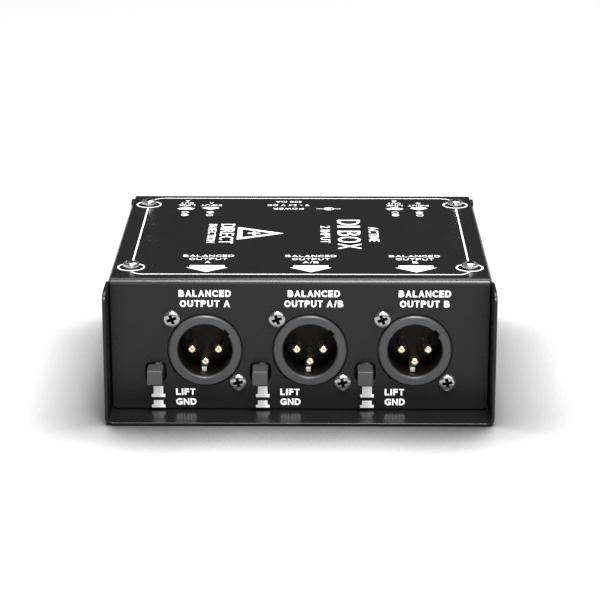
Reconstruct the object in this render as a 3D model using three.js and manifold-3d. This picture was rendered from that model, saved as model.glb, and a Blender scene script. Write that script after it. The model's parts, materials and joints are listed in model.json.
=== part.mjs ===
// An active direct injection box with two channels: a folded steel base and a folded steel cover,
// three male 3-pin outputs with ground-lift buttons at the front, stacked jack sockets and a power
// inlet at the rear, and the circuit board that carries them.
//
// Millimetres, +Z up. The outputs face -Y. The origin is the middle of the bounding box's base.

import * as THREE from 'three';
import { mergeVertices } from 'three/addons/utils/BufferGeometryUtils.js';
import Module from 'manifold-3d';

const wasm = await Module();
wasm.setup();

// ---------------------------------------------------------------- driving dimensions

const GAP = 0.3; // clearance kept between pieces that meet
const SHEET = 1.0; // thickness of both folded sheets

const WIDTH = 116; // over the base's side walls
const HEIGHT = 42; // underside of the base to the top of the cover
const DEPTH = 102; // outer face of the front panel to outer face of the rear panel
const LIP = 12; // how far the base stands out in front of the front panel
const JACK_PROUD = 3.5; // how far the jack noses stand out of the rear panel

const BASE_BEND = 2.5; // outer radius of the base's lower bends
const COVER_BEND = 2.0; // outer radius of the cover's front fold
const REAR_BEND = 1.2; // outer radius of the cover's tighter rear fold
const FLANGE_BEND = 2.0; // outer radius of the bend under the cover
const LIP_CORNER = 5.0; // rounding of each side wall's upper front corner

const FRONT = LIP - (LIP + DEPTH + JACK_PROUD) / 2; // y of the front panel's outer face
const BACK = FRONT + DEPTH; // y of the rear panel's outer face

const FLANGE_TOP = HEIGHT - SHEET - GAP;
const FLANGE_FOOT = FLANGE_TOP - FLANGE_BEND - 0.5; // where the wall ends and its bent part starts
const FLANGE = { width: 12, start: 2.3, end: 96.5, relief: 1.0 }; // start and end from FRONT
const COVER_SCREW = { x: 51.3, front: 13.2, rear: 89.2, head: 4.9, headHeight: 1.9, shank: 3.0, length: 7 };

const OUTPUTS = { a: -28.5, ab: 3.0, b: 34.5 }; // x of each output's axis
const OUTPUT_Z = 19.9;
const RING = { outer: 11.0, inner: 8.2, proud: 1.0, hole: 11.3 };
const CUP_DEPTH = 14.5; // ring face to the cup's floor
const BARREL = { radius: 11.7, length: 20 }; // connector body behind the panel
const EAR = { radius: 3.3, thickness: 2.5 };
const PIN = { radius: 1.2, spread: 4.0, drop: 3.8, tip: 1.3, tail: 3.0 };
const GROUND_TAB = { x: -0.5, z: -7.0, width: 1.6, height: 1.7, tip: 3.9 };
const LATCH_NOTCH = { angle: 42, width: 2.2, reach: 9.1 };
const OUTPUT_SCREW = { x: 9.85, z: 9.95, head: 5.1, headHeight: 1.7, shank: 2.6, length: 4.6 };

const LIFT = { x: -14.9, z: 13.0, proud: 6.4 }; // button face, its x from the output's axis
const BUTTON = { width: 4.6, height: 4.4, round: 0.5, length: 7.3, plunger: 1.2, plungerLength: 8.4 };
const BUTTON_HOLE = { width: 6.2, height: 6.0, round: 1.6 };
const SWITCH = { width: 6.0, height: 7.6, start: 7.0, length: 9.0, bore: 1.5 };
const SPRING = { radius: 1.75, wire: 0.2, turns: 5 };

const BOARD = { top: 8.0, thickness: 1.6, halfWidth: 54, start: 4.4, end: 99 };

const JACK_X = 34.6;
const JACK_Z = [13.5, 28.5]; // input below, link out above
const JACK = { width: 16, depth: 27, base: 8.3, top: 36.4, hole: 5.05 };
const NOSE = { radius: 4.75, bore: 3.25, boreDepth: 29 };
const NUT = { flats: 14, thickness: 2.2, hole: 5.05 };
const CONTACT = { width: 2.0, thickness: 0.4, length: 5.0, rise: 1.2 };

const INLET = { x: 1.0, z: 14.5, width: 9, height: 11, depth: 14, nose: 3.95 };
const SOCKET = { radius: 3.2, depth: 11 }; // the inlet's bore
const INLET_PIN_RADIUS = 1.0;
const INLET_LEAF = { width: 2.4, thickness: 0.4, slot: [-10, -6], span: [-9.7, -6.3] };

// places on the board are x, and y from FRONT
const CHIP = [9.6, 6.4, 3.3];
const CHIP_PLACES = { a: [-34, 42], b: [22, 42], sum: [-6, 42] };
const CAPACITOR = { radius: 4, height: 11.5, grooveZ: 1.6, groove: 0.4 };
const CAPACITOR_PLACES = [[-46, 46], [38, 46], [-12, 62], [14, 62]];
const REGULATOR = { x: -14, y: 78, width: 10, height: 9, thickness: 4.4, raised: 1 };
const REGULATOR_TAB = { thickness: 1.2, height: 6 };
const COIL = { x: 15, y: 80, inner: 3, outer: 6, height: 5 };

const ROUND = { large: 40, medium: 24, small: 18, tiny: 12 }; // sides of a circle, by its size

// ---------------------------------------------------------------- finishes

const finish = (color, metalness, roughness) =>
  new THREE.MeshStandardMaterial({ color, metalness, roughness, flatShading: true });
const BLACK_COAT = () => finish(0x1b1b1d, 0.2, 0.45);
const BRIGHT_STEEL = () => finish(0xb4b4b8, 1.0, 0.3);
const DARK_NICKEL = () => finish(0x77757a, 1.0, 0.28);
const GREY_PLASTIC = () => finish(0x3c3d3f, 0.0, 0.5);
const BLACK_PLASTIC = () => finish(0x111112, 0.0, 0.5);
const BUTTON_PLASTIC = () => finish(0x2c2d2f, 0.0, 0.45);
const GOLD = () => finish(0xe2bd6b, 1.0, 0.2);
const SILVER = () => finish(0xc9c8c4, 1.0, 0.3);
const BOARD_GREEN = () => finish(0x14452a, 0.0, 0.45);
const CAPACITOR_SLEEVE = () => finish(0x1c2740, 0.0, 0.35);
const COPPER = () => finish(0xb0683a, 1.0, 0.35);

// ---------------------------------------------------------------- solids

const wrap = (geometry) => {
  geometry.deleteAttribute('normal');
  geometry.deleteAttribute('uv');
  const merged = mergeVertices(geometry, 1e-4);
  const corners = merged.index.array;
  const triVerts = [];
  for (let i = 0; i < corners.length; i += 3) {
    const [a, b, c] = [corners[i], corners[i + 1], corners[i + 2]];
    if (a !== b && b !== c && c !== a) triVerts.push(a, b, c);
  }
  const vertProperties = merged.attributes.position.array;
  const mesh = new wasm.Mesh({ numProp: 3, vertProperties, triVerts: new Uint32Array(triVerts) });
  return new wasm.Manifold(mesh);
};

const unwrap = (solid) => {
  const { vertProperties, triVerts } = solid.getMesh();
  const geometry = new THREE.BufferGeometry();
  geometry.setAttribute('position', new THREE.BufferAttribute(vertProperties, 3));
  geometry.setIndex(new THREE.BufferAttribute(triVerts, 1));
  geometry.computeVertexNormals();
  return geometry;
};

const join = (solids) => solids.reduce((whole, solid) => whole.add(solid));
const cut = (solid, tools) => tools.reduce((whole, tool) => whole.subtract(tool), solid);

// A closed outline from [x, y] or [x, y, radius] corners, a radius rounding its corner.
function outline(corners) {
  const shape = new THREE.Shape();
  const count = corners.length;
  corners.forEach(([x, y, radius = 0], i) => {
    const here = new THREE.Vector2(x, y);
    const before = new THREE.Vector2(...corners[(i + count - 1) % count]).sub(here).normalize();
    const after = new THREE.Vector2(...corners[(i + 1) % count]).sub(here).normalize();
    const reach = radius / Math.tan(Math.acos(before.dot(after)) / 2);
    const enter = before.clone().multiplyScalar(reach).add(here);
    const leave = after.clone().multiplyScalar(reach).add(here);
    if (i === 0) shape.moveTo(enter.x, enter.y);
    else shape.lineTo(enter.x, enter.y);
    if (!radius) return;
    const centre = before.clone().add(after).normalize();
    centre.multiplyScalar(Math.hypot(radius, reach)).add(here);
    const from = enter.clone().sub(centre).angle();
    const to = leave.clone().sub(centre).angle();
    const clockwise = before.cross(after) > 0;
    shape.absarc(centre.x, centre.y, radius, from, to, clockwise);
  });
  return shape;
}

const rectangle = (halfWidth, halfHeight, round = 0) =>
  outline([
    [-halfWidth, -halfHeight, round],
    [halfWidth, -halfHeight, round],
    [halfWidth, halfHeight, round],
    [-halfWidth, halfHeight, round],
  ]);

const extruded = (shape, depth, curveSegments) =>
  new THREE.ExtrudeGeometry(shape, { depth, curveSegments, bevelEnabled: false });

// An outline in x and z, drawn out along y from y0 to y1.
function alongY(shape, y0, y1, curveSegments = 3) {
  return wrap(extruded(shape, y1 - y0, curveSegments).rotateX(Math.PI / 2).translate(0, y1, 0));
}

// An outline in y and z, drawn out along x from x0 to x1.
function alongX(shape, x0, x1, curveSegments = 3) {
  const turn = new THREE.Matrix4().makeBasis(
    new THREE.Vector3(0, 1, 0),
    new THREE.Vector3(0, 0, 1),
    new THREE.Vector3(1, 0, 0),
  );
  return wrap(extruded(shape, x1 - x0, curveSegments).applyMatrix4(turn).translate(x0, 0, 0));
}

// A profile of [radius, y] points turned about the y axis. It starts and ends on the axis, and its
// outside runs towards +y.
function turned(profile, segments) {
  return wrap(new THREE.LatheGeometry(profile.map(([r, y]) => new THREE.Vector2(r, y)), segments));
}

const rod = (radius, y0, y1, segments = ROUND.small) =>
  turned([[0, y0], [radius, y0], [radius, y1], [0, y1]], segments);

// A box with its middle at x and z, from y0 to y1.
function block(width, height, y0, y1, x = 0, z = 0) {
  return wrap(new THREE.BoxGeometry(width, y1 - y0, height).translate(x, (y0 + y1) / 2, z));
}

// ---------------------------------------------------------------- the scene graph

const box = new THREE.Group();

function place(name, solid, material, x = 0, y = 0, z = 0) {
  const mesh = new THREE.Mesh(unwrap(solid), material);
  mesh.name = name;
  mesh.position.set(x, y, z);
  box.add(mesh);
  return mesh;
}

// ---------------------------------------------------------------- case

// Section of the base through x and z: a bottom and two walls, up to the height `top`.
function baseSection(top) {
  const out = WIDTH / 2;
  const inside = out - SHEET;
  return outline([
    [-out, top],
    [-out, 0, BASE_BEND],
    [out, 0, BASE_BEND],
    [out, top],
    [inside, top],
    [inside, SHEET, BASE_BEND - SHEET],
    [-inside, SHEET, BASE_BEND - SHEET],
    [-inside, top],
  ]);
}

// Section of one flange: the upper part of the wall on that side (-1 or 1), bent in under the cover.
function flangeSection(side) {
  const out = side * WIDTH / 2;
  const inside = side * (WIDTH / 2 - SHEET);
  const edge = side * (WIDTH / 2 - FLANGE.width);
  const corners = [
    [out, FLANGE_FOOT],
    [out, FLANGE_TOP, FLANGE_BEND],
    [edge, FLANGE_TOP],
    [edge, FLANGE_TOP - SHEET],
    [inside, FLANGE_TOP - SHEET, FLANGE_BEND - SHEET],
    [inside, FLANGE_FOOT],
  ];
  return outline(side > 0 ? corners : corners.reverse());
}

function baseShell() {
  const top = HEIGHT - SHEET;
  const start = FRONT + FLANGE.start;
  const end = FRONT + FLANGE.end;
  const side = outline([
    [FRONT - LIP, 0],
    [BACK, 0],
    [BACK, top, SHEET],
    [FRONT - LIP, top, LIP_CORNER],
  ]);
  const sides = alongX(side, -WIDTH / 2, WIDTH / 2);
  const walls = alongY(baseSection(top), FRONT - LIP, BACK).intersect(sides);
  const slot = [start - FLANGE.relief, end + FLANGE.relief];
  const above = SHEET + HEIGHT;
  const room = block(WIDTH + 2, above - FLANGE_FOOT, ...slot, 0, (above + FLANGE_FOOT) / 2);
  const flanges = [-1, 1].map((s) => alongY(flangeSection(s), start, end));
  const holes = coverScrewPlaces().map(({ x, y }) => upright(COVER_SCREW.shank / 2 + GAP, x, y));
  return cut(join([walls.subtract(room), ...flanges]), holes);
}

// A vertical cutter through the top and the flange.
function upright(radius, x, y) {
  return rod(radius, -5, 5).rotate([90, 0, 0]).translate([x, y, HEIGHT]);
}

function coverScrewPlaces() {
  const places = [];
  for (const [end, distance] of Object.entries({ front: COVER_SCREW.front, rear: COVER_SCREW.rear })) {
    for (const [side, x] of Object.entries({ left: -COVER_SCREW.x, right: COVER_SCREW.x })) {
      places.push({ name: `cover_screw_${end}_${side}`, x, y: FRONT + distance });
    }
  }
  return places;
}

function topCover() {
  const halfWidth = WIDTH / 2 - SHEET - GAP;
  const foot = SHEET + GAP;
  const section = outline([
    [FRONT, foot],
    [FRONT + SHEET, foot],
    [FRONT + SHEET, HEIGHT - SHEET, COVER_BEND - SHEET],
    [BACK - SHEET, HEIGHT - SHEET, REAR_BEND - SHEET],
    [BACK - SHEET, foot],
    [BACK, foot],
    [BACK, HEIGHT, REAR_BEND],
    [FRONT, HEIGHT, COVER_BEND],
  ]);
  const holes = coverScrewPlaces().map(({ x, y }) => upright(COVER_SCREW.shank / 2 + GAP, x, y));
  const through = (radius, y, x, z, segments) =>
    rod(radius, y - 2, y + 3, segments).translate([x, 0, z]);
  for (const x of Object.values(OUTPUTS)) {
    holes.push(through(RING.hole, FRONT, x, OUTPUT_Z, ROUND.large));
    for (const s of [-1, 1]) {
      const screw = [x + s * OUTPUT_SCREW.x, OUTPUT_Z - s * OUTPUT_SCREW.z];
      holes.push(through(OUTPUT_SCREW.shank / 2 + GAP, FRONT, ...screw, ROUND.tiny));
    }
    const opening = rectangle(BUTTON_HOLE.width / 2, BUTTON_HOLE.height / 2, BUTTON_HOLE.round);
    holes.push(alongY(opening, FRONT - 2, FRONT + 3).translate([x + LIFT.x, 0, LIFT.z]));
  }
  for (const x of [-JACK_X, JACK_X]) {
    for (const z of JACK_Z) holes.push(through(JACK.hole, BACK - SHEET, x, z, ROUND.medium));
  }
  holes.push(through(INLET.nose + GAP, BACK - SHEET, INLET.x, INLET.z, ROUND.medium));
  const face = outline([
    [-halfWidth, foot, BASE_BEND - SHEET],
    [halfWidth, foot, BASE_BEND - SHEET],
    [halfWidth, HEIGHT],
    [-halfWidth, HEIGHT],
  ]);
  const folded = alongX(section, -halfWidth, halfWidth).intersect(alongY(face, FRONT, BACK));
  return cut(folded, holes);
}

// ---------------------------------------------------------------- screws

// A pan-head screw along y, head towards -y, its seat at y = 0, with a cross recess.
function panScrew({ head, headHeight, shank, length }) {
  const radius = head / 2;
  const crown = [];
  const steps = 3;
  for (let i = 0; i <= steps; i += 1) {
    const turn = (i / steps) * Math.PI / 2;
    crown.push([radius * Math.sin(turn), -headHeight * (0.35 + 0.65 * Math.cos(turn))]);
  }
  const chamfer = 0.5;
  const stem = [
    [radius, 0],
    [shank / 2, 0],
    [shank / 2, length - chamfer],
    [shank / 2 - chamfer, length],
    [0, length],
  ];
  const body = turned([...crown, ...stem], ROUND.small);
  const slot = [0, 90].map((turn) =>
    block(head * 0.56, head * 0.15, -headHeight - 1, -headHeight * 0.35).rotate([0, turn, 0]),
  );
  return cut(body, slot);
}

function addCoverScrews() {
  const screw = panScrew(COVER_SCREW).rotate([-90, 0, 0]);
  for (const { name, x, y } of coverScrewPlaces()) {
    place(name, screw, BRIGHT_STEEL(), x, y, HEIGHT + GAP);
  }
}

// ---------------------------------------------------------------- outputs

// Connector housing with its axis on y and the front panel's outer face at y = 0.
function outputHousing() {
  const floor = CUP_DEPTH - RING.proud;
  const behind = SHEET + GAP;
  const end = behind + BARREL.length;
  const barrel = turned([
    [0, floor],
    [RING.inner, floor],
    [RING.inner, -RING.proud + 0.25],
    [RING.inner + 0.25, -RING.proud],
    [RING.outer - 0.25, -RING.proud],
    [RING.outer, -RING.proud + 0.25],
    [RING.outer, behind],
    [BARREL.radius, behind],
    [BARREL.radius, end],
    [0, end],
  ], ROUND.large);
  const ears = [];
  const cutters = [];
  for (const s of [-1, 1]) {
    const [x, z] = [s * OUTPUT_SCREW.x, -s * OUTPUT_SCREW.z];
    ears.push(rod(EAR.radius, behind, behind + EAR.thickness).translate([x, 0, z]));
    const arm = block(OUTPUT_SCREW.x * 1.3, EAR.radius * 2, behind, behind + EAR.thickness);
    const middle = arm.translate([OUTPUT_SCREW.x * 0.65, 0, 0]);
    ears.push(middle.rotate([0, THREE.MathUtils.radToDeg(Math.atan2(-z, x)), 0]));
    cutters.push(rod(OUTPUT_SCREW.shank / 2 + GAP, -5, 10, ROUND.tiny).translate([x, 0, z]));
  }
  for (const [x, z] of pinPlaces()) {
    cutters.push(rod(PIN.radius + GAP, floor - 2, end + 2, ROUND.tiny).translate([x, 0, z]));
  }
  const { width, height, x, z } = GROUND_TAB;
  cutters.push(block(width + 2 * GAP, height + 2 * GAP, floor - 2, end + 2, x, z));
  const { reach, width: notchWidth } = LATCH_NOTCH;
  const notch = block(reach, notchWidth, -RING.proud - 1, floor - 4, reach / 2);
  cutters.push(rod(RING.inner, 0, floor, ROUND.large), notch.rotate([0, -LATCH_NOTCH.angle, 0]));
  return cut(join([barrel, ...ears]), cutters);
}

const pinPlaces = () => [
  [-PIN.spread, 0],
  [PIN.spread, 0],
  [0, -PIN.drop],
];

// One contact pin, domed at the end that meets the plug.
function outputPin() {
  const tip = PIN.tip - RING.proud;
  const end = SHEET + GAP + BARREL.length + PIN.tail;
  const profile = [];
  const steps = 3;
  for (let i = 0; i <= steps; i += 1) {
    const turn = (i / steps) * Math.PI / 2;
    profile.push([PIN.radius * Math.sin(turn), tip + 0.7 * (1 - Math.cos(turn))]);
  }
  return turned([...profile, [PIN.radius, end - 0.3], [PIN.radius - 0.3, end], [0, end]], ROUND.tiny);
}

function addOutputs() {
  const housing = outputHousing();
  const pin = outputPin();
  const { width, height, x: tabX, z: tabZ } = GROUND_TAB;
  const end = SHEET + GAP + BARREL.length + PIN.tail;
  const tab = block(width, height, GROUND_TAB.tip - RING.proud, end, tabX, tabZ);
  const screw = panScrew(OUTPUT_SCREW);
  for (const [channel, x] of Object.entries(OUTPUTS)) {
    place(`output_${channel}_housing`, housing, GREY_PLASTIC(), x, FRONT, OUTPUT_Z);
    pinPlaces().forEach(([px, pz], i) => {
      place(`output_${channel}_pin_${i + 1}`, pin, GOLD(), x + px, FRONT, OUTPUT_Z + pz);
    });
    place(`output_${channel}_ground_contact`, tab, SILVER(), x, FRONT, OUTPUT_Z);
    for (const [where, s] of [['upper', -1], ['lower', 1]]) {
      const at = [x + s * OUTPUT_SCREW.x, FRONT - GAP, OUTPUT_Z - s * OUTPUT_SCREW.z];
      place(`output_${channel}_screw_${where}`, screw, DARK_NICKEL(), ...at);
    }
  }
}

// ---------------------------------------------------------------- ground-lift switches

function liftButton() {
  const back = BUTTON.length - LIFT.proud;
  const cap = alongY(rectangle(BUTTON.width / 2, BUTTON.height / 2, BUTTON.round), -LIFT.proud, back);
  return cap.add(rod(BUTTON.plunger, back - 1, back + BUTTON.plungerLength, ROUND.tiny));
}

class Coil extends THREE.Curve {
  constructor(radius, turns, start, length) {
    super();
    Object.assign(this, { radius, turns, start, length });
  }
  getPoint(t, target = new THREE.Vector3()) {
    const turn = t * this.turns * 2 * Math.PI;
    return target.set(
      this.radius * Math.cos(turn),
      this.start + t * this.length,
      this.radius * Math.sin(turn),
    );
  }
}

function liftSpring() {
  const from = BUTTON.length - LIFT.proud + GAP + SPRING.wire;
  const length = SWITCH.start - from - GAP - SPRING.wire;
  const path = new Coil(SPRING.radius, SPRING.turns, from, length);
  const wire = new THREE.Shape().absarc(0, 0, SPRING.wire, 0, 2 * Math.PI);
  const steps = SPRING.turns * 10;
  const sweep = { steps, extrudePath: path, curveSegments: 3, bevelEnabled: false };
  return wrap(new THREE.ExtrudeGeometry(wire, sweep));
}

function switchBody() {
  const base = BOARD.top + GAP - LIFT.z;
  const middle = base + SWITCH.height / 2;
  const shell = block(SWITCH.width, SWITCH.height, SWITCH.start, SWITCH.start + SWITCH.length, 0, middle);
  return shell.subtract(rod(SWITCH.bore, SWITCH.start - 1, SWITCH.start + SWITCH.length + 1, ROUND.tiny));
}

function addLiftSwitches() {
  const [button, spring, body] = [liftButton(), liftSpring(), switchBody()];
  for (const [channel, x] of Object.entries(OUTPUTS)) {
    const at = [x + LIFT.x, FRONT, LIFT.z];
    place(`lift_${channel}_button`, button, BUTTON_PLASTIC(), ...at);
    place(`lift_${channel}_spring`, spring, SILVER(), ...at);
    place(`lift_${channel}_switch_body`, body, BLACK_PLASTIC(), ...at);
  }
}

// ---------------------------------------------------------------- rear jacks and power inlet

// A stacked pair of jacks on the axis x = 0, with the rear panel's outer face at y = 0.
function jackHousing() {
  const front = -SHEET - GAP;
  const middle = (JACK.base + JACK.top) / 2;
  const shell = block(JACK.width, JACK.top - JACK.base, front - JACK.depth, front, 0, middle);
  const nose = rod(NOSE.radius, front - 1, JACK_PROUD, ROUND.medium);
  const noses = JACK_Z.map((z) => nose.translate([0, 0, z]));
  const bores = JACK_Z.map((z) =>
    rod(NOSE.bore, JACK_PROUD - NOSE.boreDepth, JACK_PROUD + 1, ROUND.medium).translate([0, 0, z]),
  );
  return cut(join([shell, ...noses]), bores);
}

function jackNut() {
  const sides = 6;
  const corner = NUT.flats / 2 / Math.cos(Math.PI / sides);
  const hex = new THREE.Shape();
  for (let i = 0; i < sides; i += 1) {
    const turn = (i / sides) * 2 * Math.PI;
    const point = [corner * Math.cos(turn), corner * Math.sin(turn)];
    if (i) hex.lineTo(...point);
    else hex.moveTo(...point);
  }
  const hole = rod(NUT.hole, -1, NUT.thickness + 2, ROUND.medium);
  return alongY(hex, GAP, GAP + NUT.thickness).subtract(hole);
}

// A bent leaf that touches a plug's tip, on the axis x = 0 at the closed end of a bore.
function tipContact() {
  const { width, thickness, length, rise } = CONTACT;
  const start = JACK_PROUD - NOSE.boreDepth + GAP;
  const low = -NOSE.bore + 2 * GAP + 0.1;
  const leaf = outline([
    [start, low],
    [start + length * 0.6, low + rise],
    [start + length, low + rise * 0.4],
    [start + length, low + rise * 0.4 + thickness],
    [start + length * 0.6, low + rise + thickness],
    [start, low + thickness],
  ]);
  return alongX(leaf, -width / 2, width / 2);
}

function addJacks() {
  const [housing, nut, contact] = [jackHousing(), jackNut(), tipContact()];
  const roles = ['input', 'link'];
  for (const [channel, x] of [['a', -JACK_X], ['b', JACK_X]]) {
    place(`jacks_${channel}_housing`, housing, BLACK_PLASTIC(), x, BACK, 0);
    JACK_Z.forEach((z, i) => {
      place(`${roles[i]}_${channel}_nut`, nut, SILVER(), x, BACK, z);
      place(`${roles[i]}_${channel}_tip_contact`, contact, SILVER(), x, BACK, z);
    });
  }
}

function inletBody() {
  const front = -SHEET - GAP;
  const base = BOARD.top + GAP - INLET.z;
  const middle = base + INLET.height / 2;
  const shell = block(INLET.width, INLET.height, front - INLET.depth, front, 0, middle);
  const nose = rod(INLET.nose, front - 1, -GAP, ROUND.medium);
  const socket = rod(SOCKET.radius, -SOCKET.depth, 1, ROUND.medium);
  const stem = rod(INLET_PIN_RADIUS + GAP, front - INLET.depth - 1, 0, ROUND.tiny);
  const gap = INLET_LEAF.width + 2 * GAP;
  const slot = block(gap, INLET.height, ...INLET_LEAF.slot, 0, -INLET.height / 2);
  return cut(shell.add(nose), [socket, stem, slot]);
}

function inletPin() {
  const end = -SHEET;
  const start = -SHEET - GAP - INLET.depth - 2;
  return turned([
    [0, start],
    [INLET_PIN_RADIUS, start],
    [INLET_PIN_RADIUS, end - 0.6],
    [INLET_PIN_RADIUS * 0.5, end],
    [0, end],
  ], ROUND.tiny);
}

function addPowerInlet() {
  const at = [INLET.x, BACK, INLET.z];
  place('power_inlet_body', inletBody(), BLACK_PLASTIC(), ...at);
  place('power_inlet_pin', inletPin(), SILVER(), ...at);
  const { width, thickness, span } = INLET_LEAF;
  const leaf = block(width, thickness, ...span, 0, -SOCKET.radius - thickness / 2);
  place('power_inlet_leaf', leaf, SILVER(), ...at);
}

// ---------------------------------------------------------------- board and its components

function mainBoard() {
  const { top, thickness, halfWidth, start, end } = BOARD;
  const plate = block(2 * halfWidth, thickness, FRONT + start, FRONT + end, 0, top - thickness / 2);
  const relief = Object.values(OUTPUTS).map((x) =>
    block(2 * EAR.radius + 2, 4, FRONT + start - 1, FRONT + start + 2, x + OUTPUT_SCREW.x, top),
  );
  return cut(plate, relief);
}

function amplifierChip() {
  const [length, width, height] = CHIP;
  return wrap(new THREE.BoxGeometry(length, width, height).translate(0, 0, height / 2));
}

// An upright can with a rolled groove near its foot.
function capacitor() {
  const { radius, height, grooveZ, groove } = CAPACITOR;
  const profile = [
    [0, 0],
    [radius, 0],
    [radius, grooveZ - groove],
    [radius - groove, grooveZ],
    [radius, grooveZ + groove],
    [radius, height - groove],
    [radius - groove, height],
    [0, height],
  ];
  return turned(profile, ROUND.small).rotate([90, 0, 0]);
}

function regulator() {
  const { width, height, thickness, raised } = REGULATOR;
  const { thickness: tab, height: tabHeight } = REGULATOR_TAB;
  const moulding = block(width, height, 0, thickness, 0, raised + height / 2);
  return moulding.add(block(width, tabHeight + 1, 0, tab, 0, raised + height + (tabHeight - 1) / 2));
}

function addElectronics() {
  place('main_board', mainBoard(), BOARD_GREEN());
  const floor = BOARD.top + GAP;
  for (const [channel, [x, y]] of Object.entries(CHIP_PLACES)) {
    place(`amplifier_chip_${channel}`, amplifierChip(), BLACK_PLASTIC(), x, FRONT + y, floor);
  }
  CAPACITOR_PLACES.forEach(([x, y], i) => {
    place(`capacitor_${i + 1}`, capacitor(), CAPACITOR_SLEEVE(), x, FRONT + y, floor);
  });
  place('voltage_regulator', regulator(), BLACK_PLASTIC(), REGULATOR.x, FRONT + REGULATOR.y, floor);
  const { inner, outer, height } = COIL;
  const ring = turned([[inner, 0], [outer, 0], [outer, height], [inner, height], [inner, 0]], ROUND.medium);
  place('filter_coil', ring.rotate([90, 0, 0]), COPPER(), COIL.x, FRONT + COIL.y, floor);
}

place('base_shell', baseShell(), BLACK_COAT());
place('top_cover', topCover(), BLACK_COAT());
addCoverScrews();
addOutputs();
addLiftSwitches();
addJacks();
addPowerInlet();
addElectronics();

export default box;
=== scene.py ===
"""An active direct injection box with two channels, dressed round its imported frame.

The case is two folded sheets: a base whose side walls stand out in front as a guard, and a cover
that is the front panel, the top and the rear panel in one. The front holds three male 3-pin outputs
and their ground-lift buttons, the rear two stacked pairs of phone jacks and a power inlet, and the
circuit board carries them all. Places come from the frame's own nodes. Lengths are metres, written
as millimetres times MM.
"""

import json
import logging
import math
import random
from dataclasses import dataclass, field
from enum import Enum

import bmesh
import bpy
from bmesh.types import BMesh
from bpy.types import Material, Object, ShaderNode
from mathutils import Matrix, Vector


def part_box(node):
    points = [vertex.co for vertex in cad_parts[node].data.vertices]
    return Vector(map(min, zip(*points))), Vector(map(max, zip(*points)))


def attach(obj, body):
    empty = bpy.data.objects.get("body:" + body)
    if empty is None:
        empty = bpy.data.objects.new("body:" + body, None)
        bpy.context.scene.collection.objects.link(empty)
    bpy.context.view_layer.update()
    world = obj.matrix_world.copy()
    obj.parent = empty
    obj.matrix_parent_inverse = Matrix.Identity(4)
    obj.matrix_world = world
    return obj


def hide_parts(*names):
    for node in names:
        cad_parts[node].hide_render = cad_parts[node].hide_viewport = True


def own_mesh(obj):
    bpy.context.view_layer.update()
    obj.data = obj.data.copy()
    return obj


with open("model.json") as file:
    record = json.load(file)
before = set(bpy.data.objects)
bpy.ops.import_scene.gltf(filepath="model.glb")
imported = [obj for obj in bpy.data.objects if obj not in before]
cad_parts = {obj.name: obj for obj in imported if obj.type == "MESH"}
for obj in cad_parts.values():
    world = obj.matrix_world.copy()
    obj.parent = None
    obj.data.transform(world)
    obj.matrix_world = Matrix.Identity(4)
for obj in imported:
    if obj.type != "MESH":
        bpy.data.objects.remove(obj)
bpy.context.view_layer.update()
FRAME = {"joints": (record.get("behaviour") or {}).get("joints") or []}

LOG = logging.getLogger("direct_injection_box")

MM = 0.001
WELD = 0.5e-6
QUARTER = math.pi / 2
TURN = 2 * math.pi
ORIGIN = (0.0, 0.0, 0.0)
UP = (0.0, 0.0, 1.0)
CASE = "case"
CHANNELS = ("a", "ab", "b")

# Local Z points out of the front panel with FORWARD, and out of the rear panel with BACKWARD.
FORWARD = Matrix.Rotation(QUARTER, 4, "X")
BACKWARD = Matrix.Rotation(-QUARTER, 4, "X")


class Slot(Enum):
    """The record's material slots."""

    BLACK_COAT = "black_coat"
    BRIGHT_STEEL = "bright_steel"
    DARK_NICKEL = "dark_nickel"
    GREY_PLASTIC = "grey_plastic"
    BLACK_PLASTIC = "black_plastic"
    BUTTON_PLASTIC = "button_plastic"
    GOLD = "gold"
    SILVER = "silver"
    BOARD_GREEN = "board_green"
    CAPACITOR_SLEEVE = "capacitor_sleeve"
    COPPER = "copper"
    PRINT_WHITE = "print_white"


class Facing(Enum):
    """The way a print reads: the directions of its right and its up."""

    FRONT = ((1, 0, 0), (0, 0, 1))
    TOP = ((1, 0, 0), (0, 1, 0))
    TOP_FROM_REAR = ((-1, 0, 0), (0, -1, 0))
    TOP_SIDEWAYS = ((0, -1, 0), (1, 0, 0))
    REAR = ((-1, 0, 0), (0, 0, 1))

    def matrix(self, place: Vector) -> Matrix:
        """The turn from a flat drawing to this facing, with the drawing's origin at a place."""
        right, up = (Vector(direction) for direction in self.value)
        turn = Matrix((right, up, right.cross(up))).transposed().to_4x4()
        return Matrix.Translation(place) @ turn


# ---------------------------------------------------------------- finishes


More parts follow.
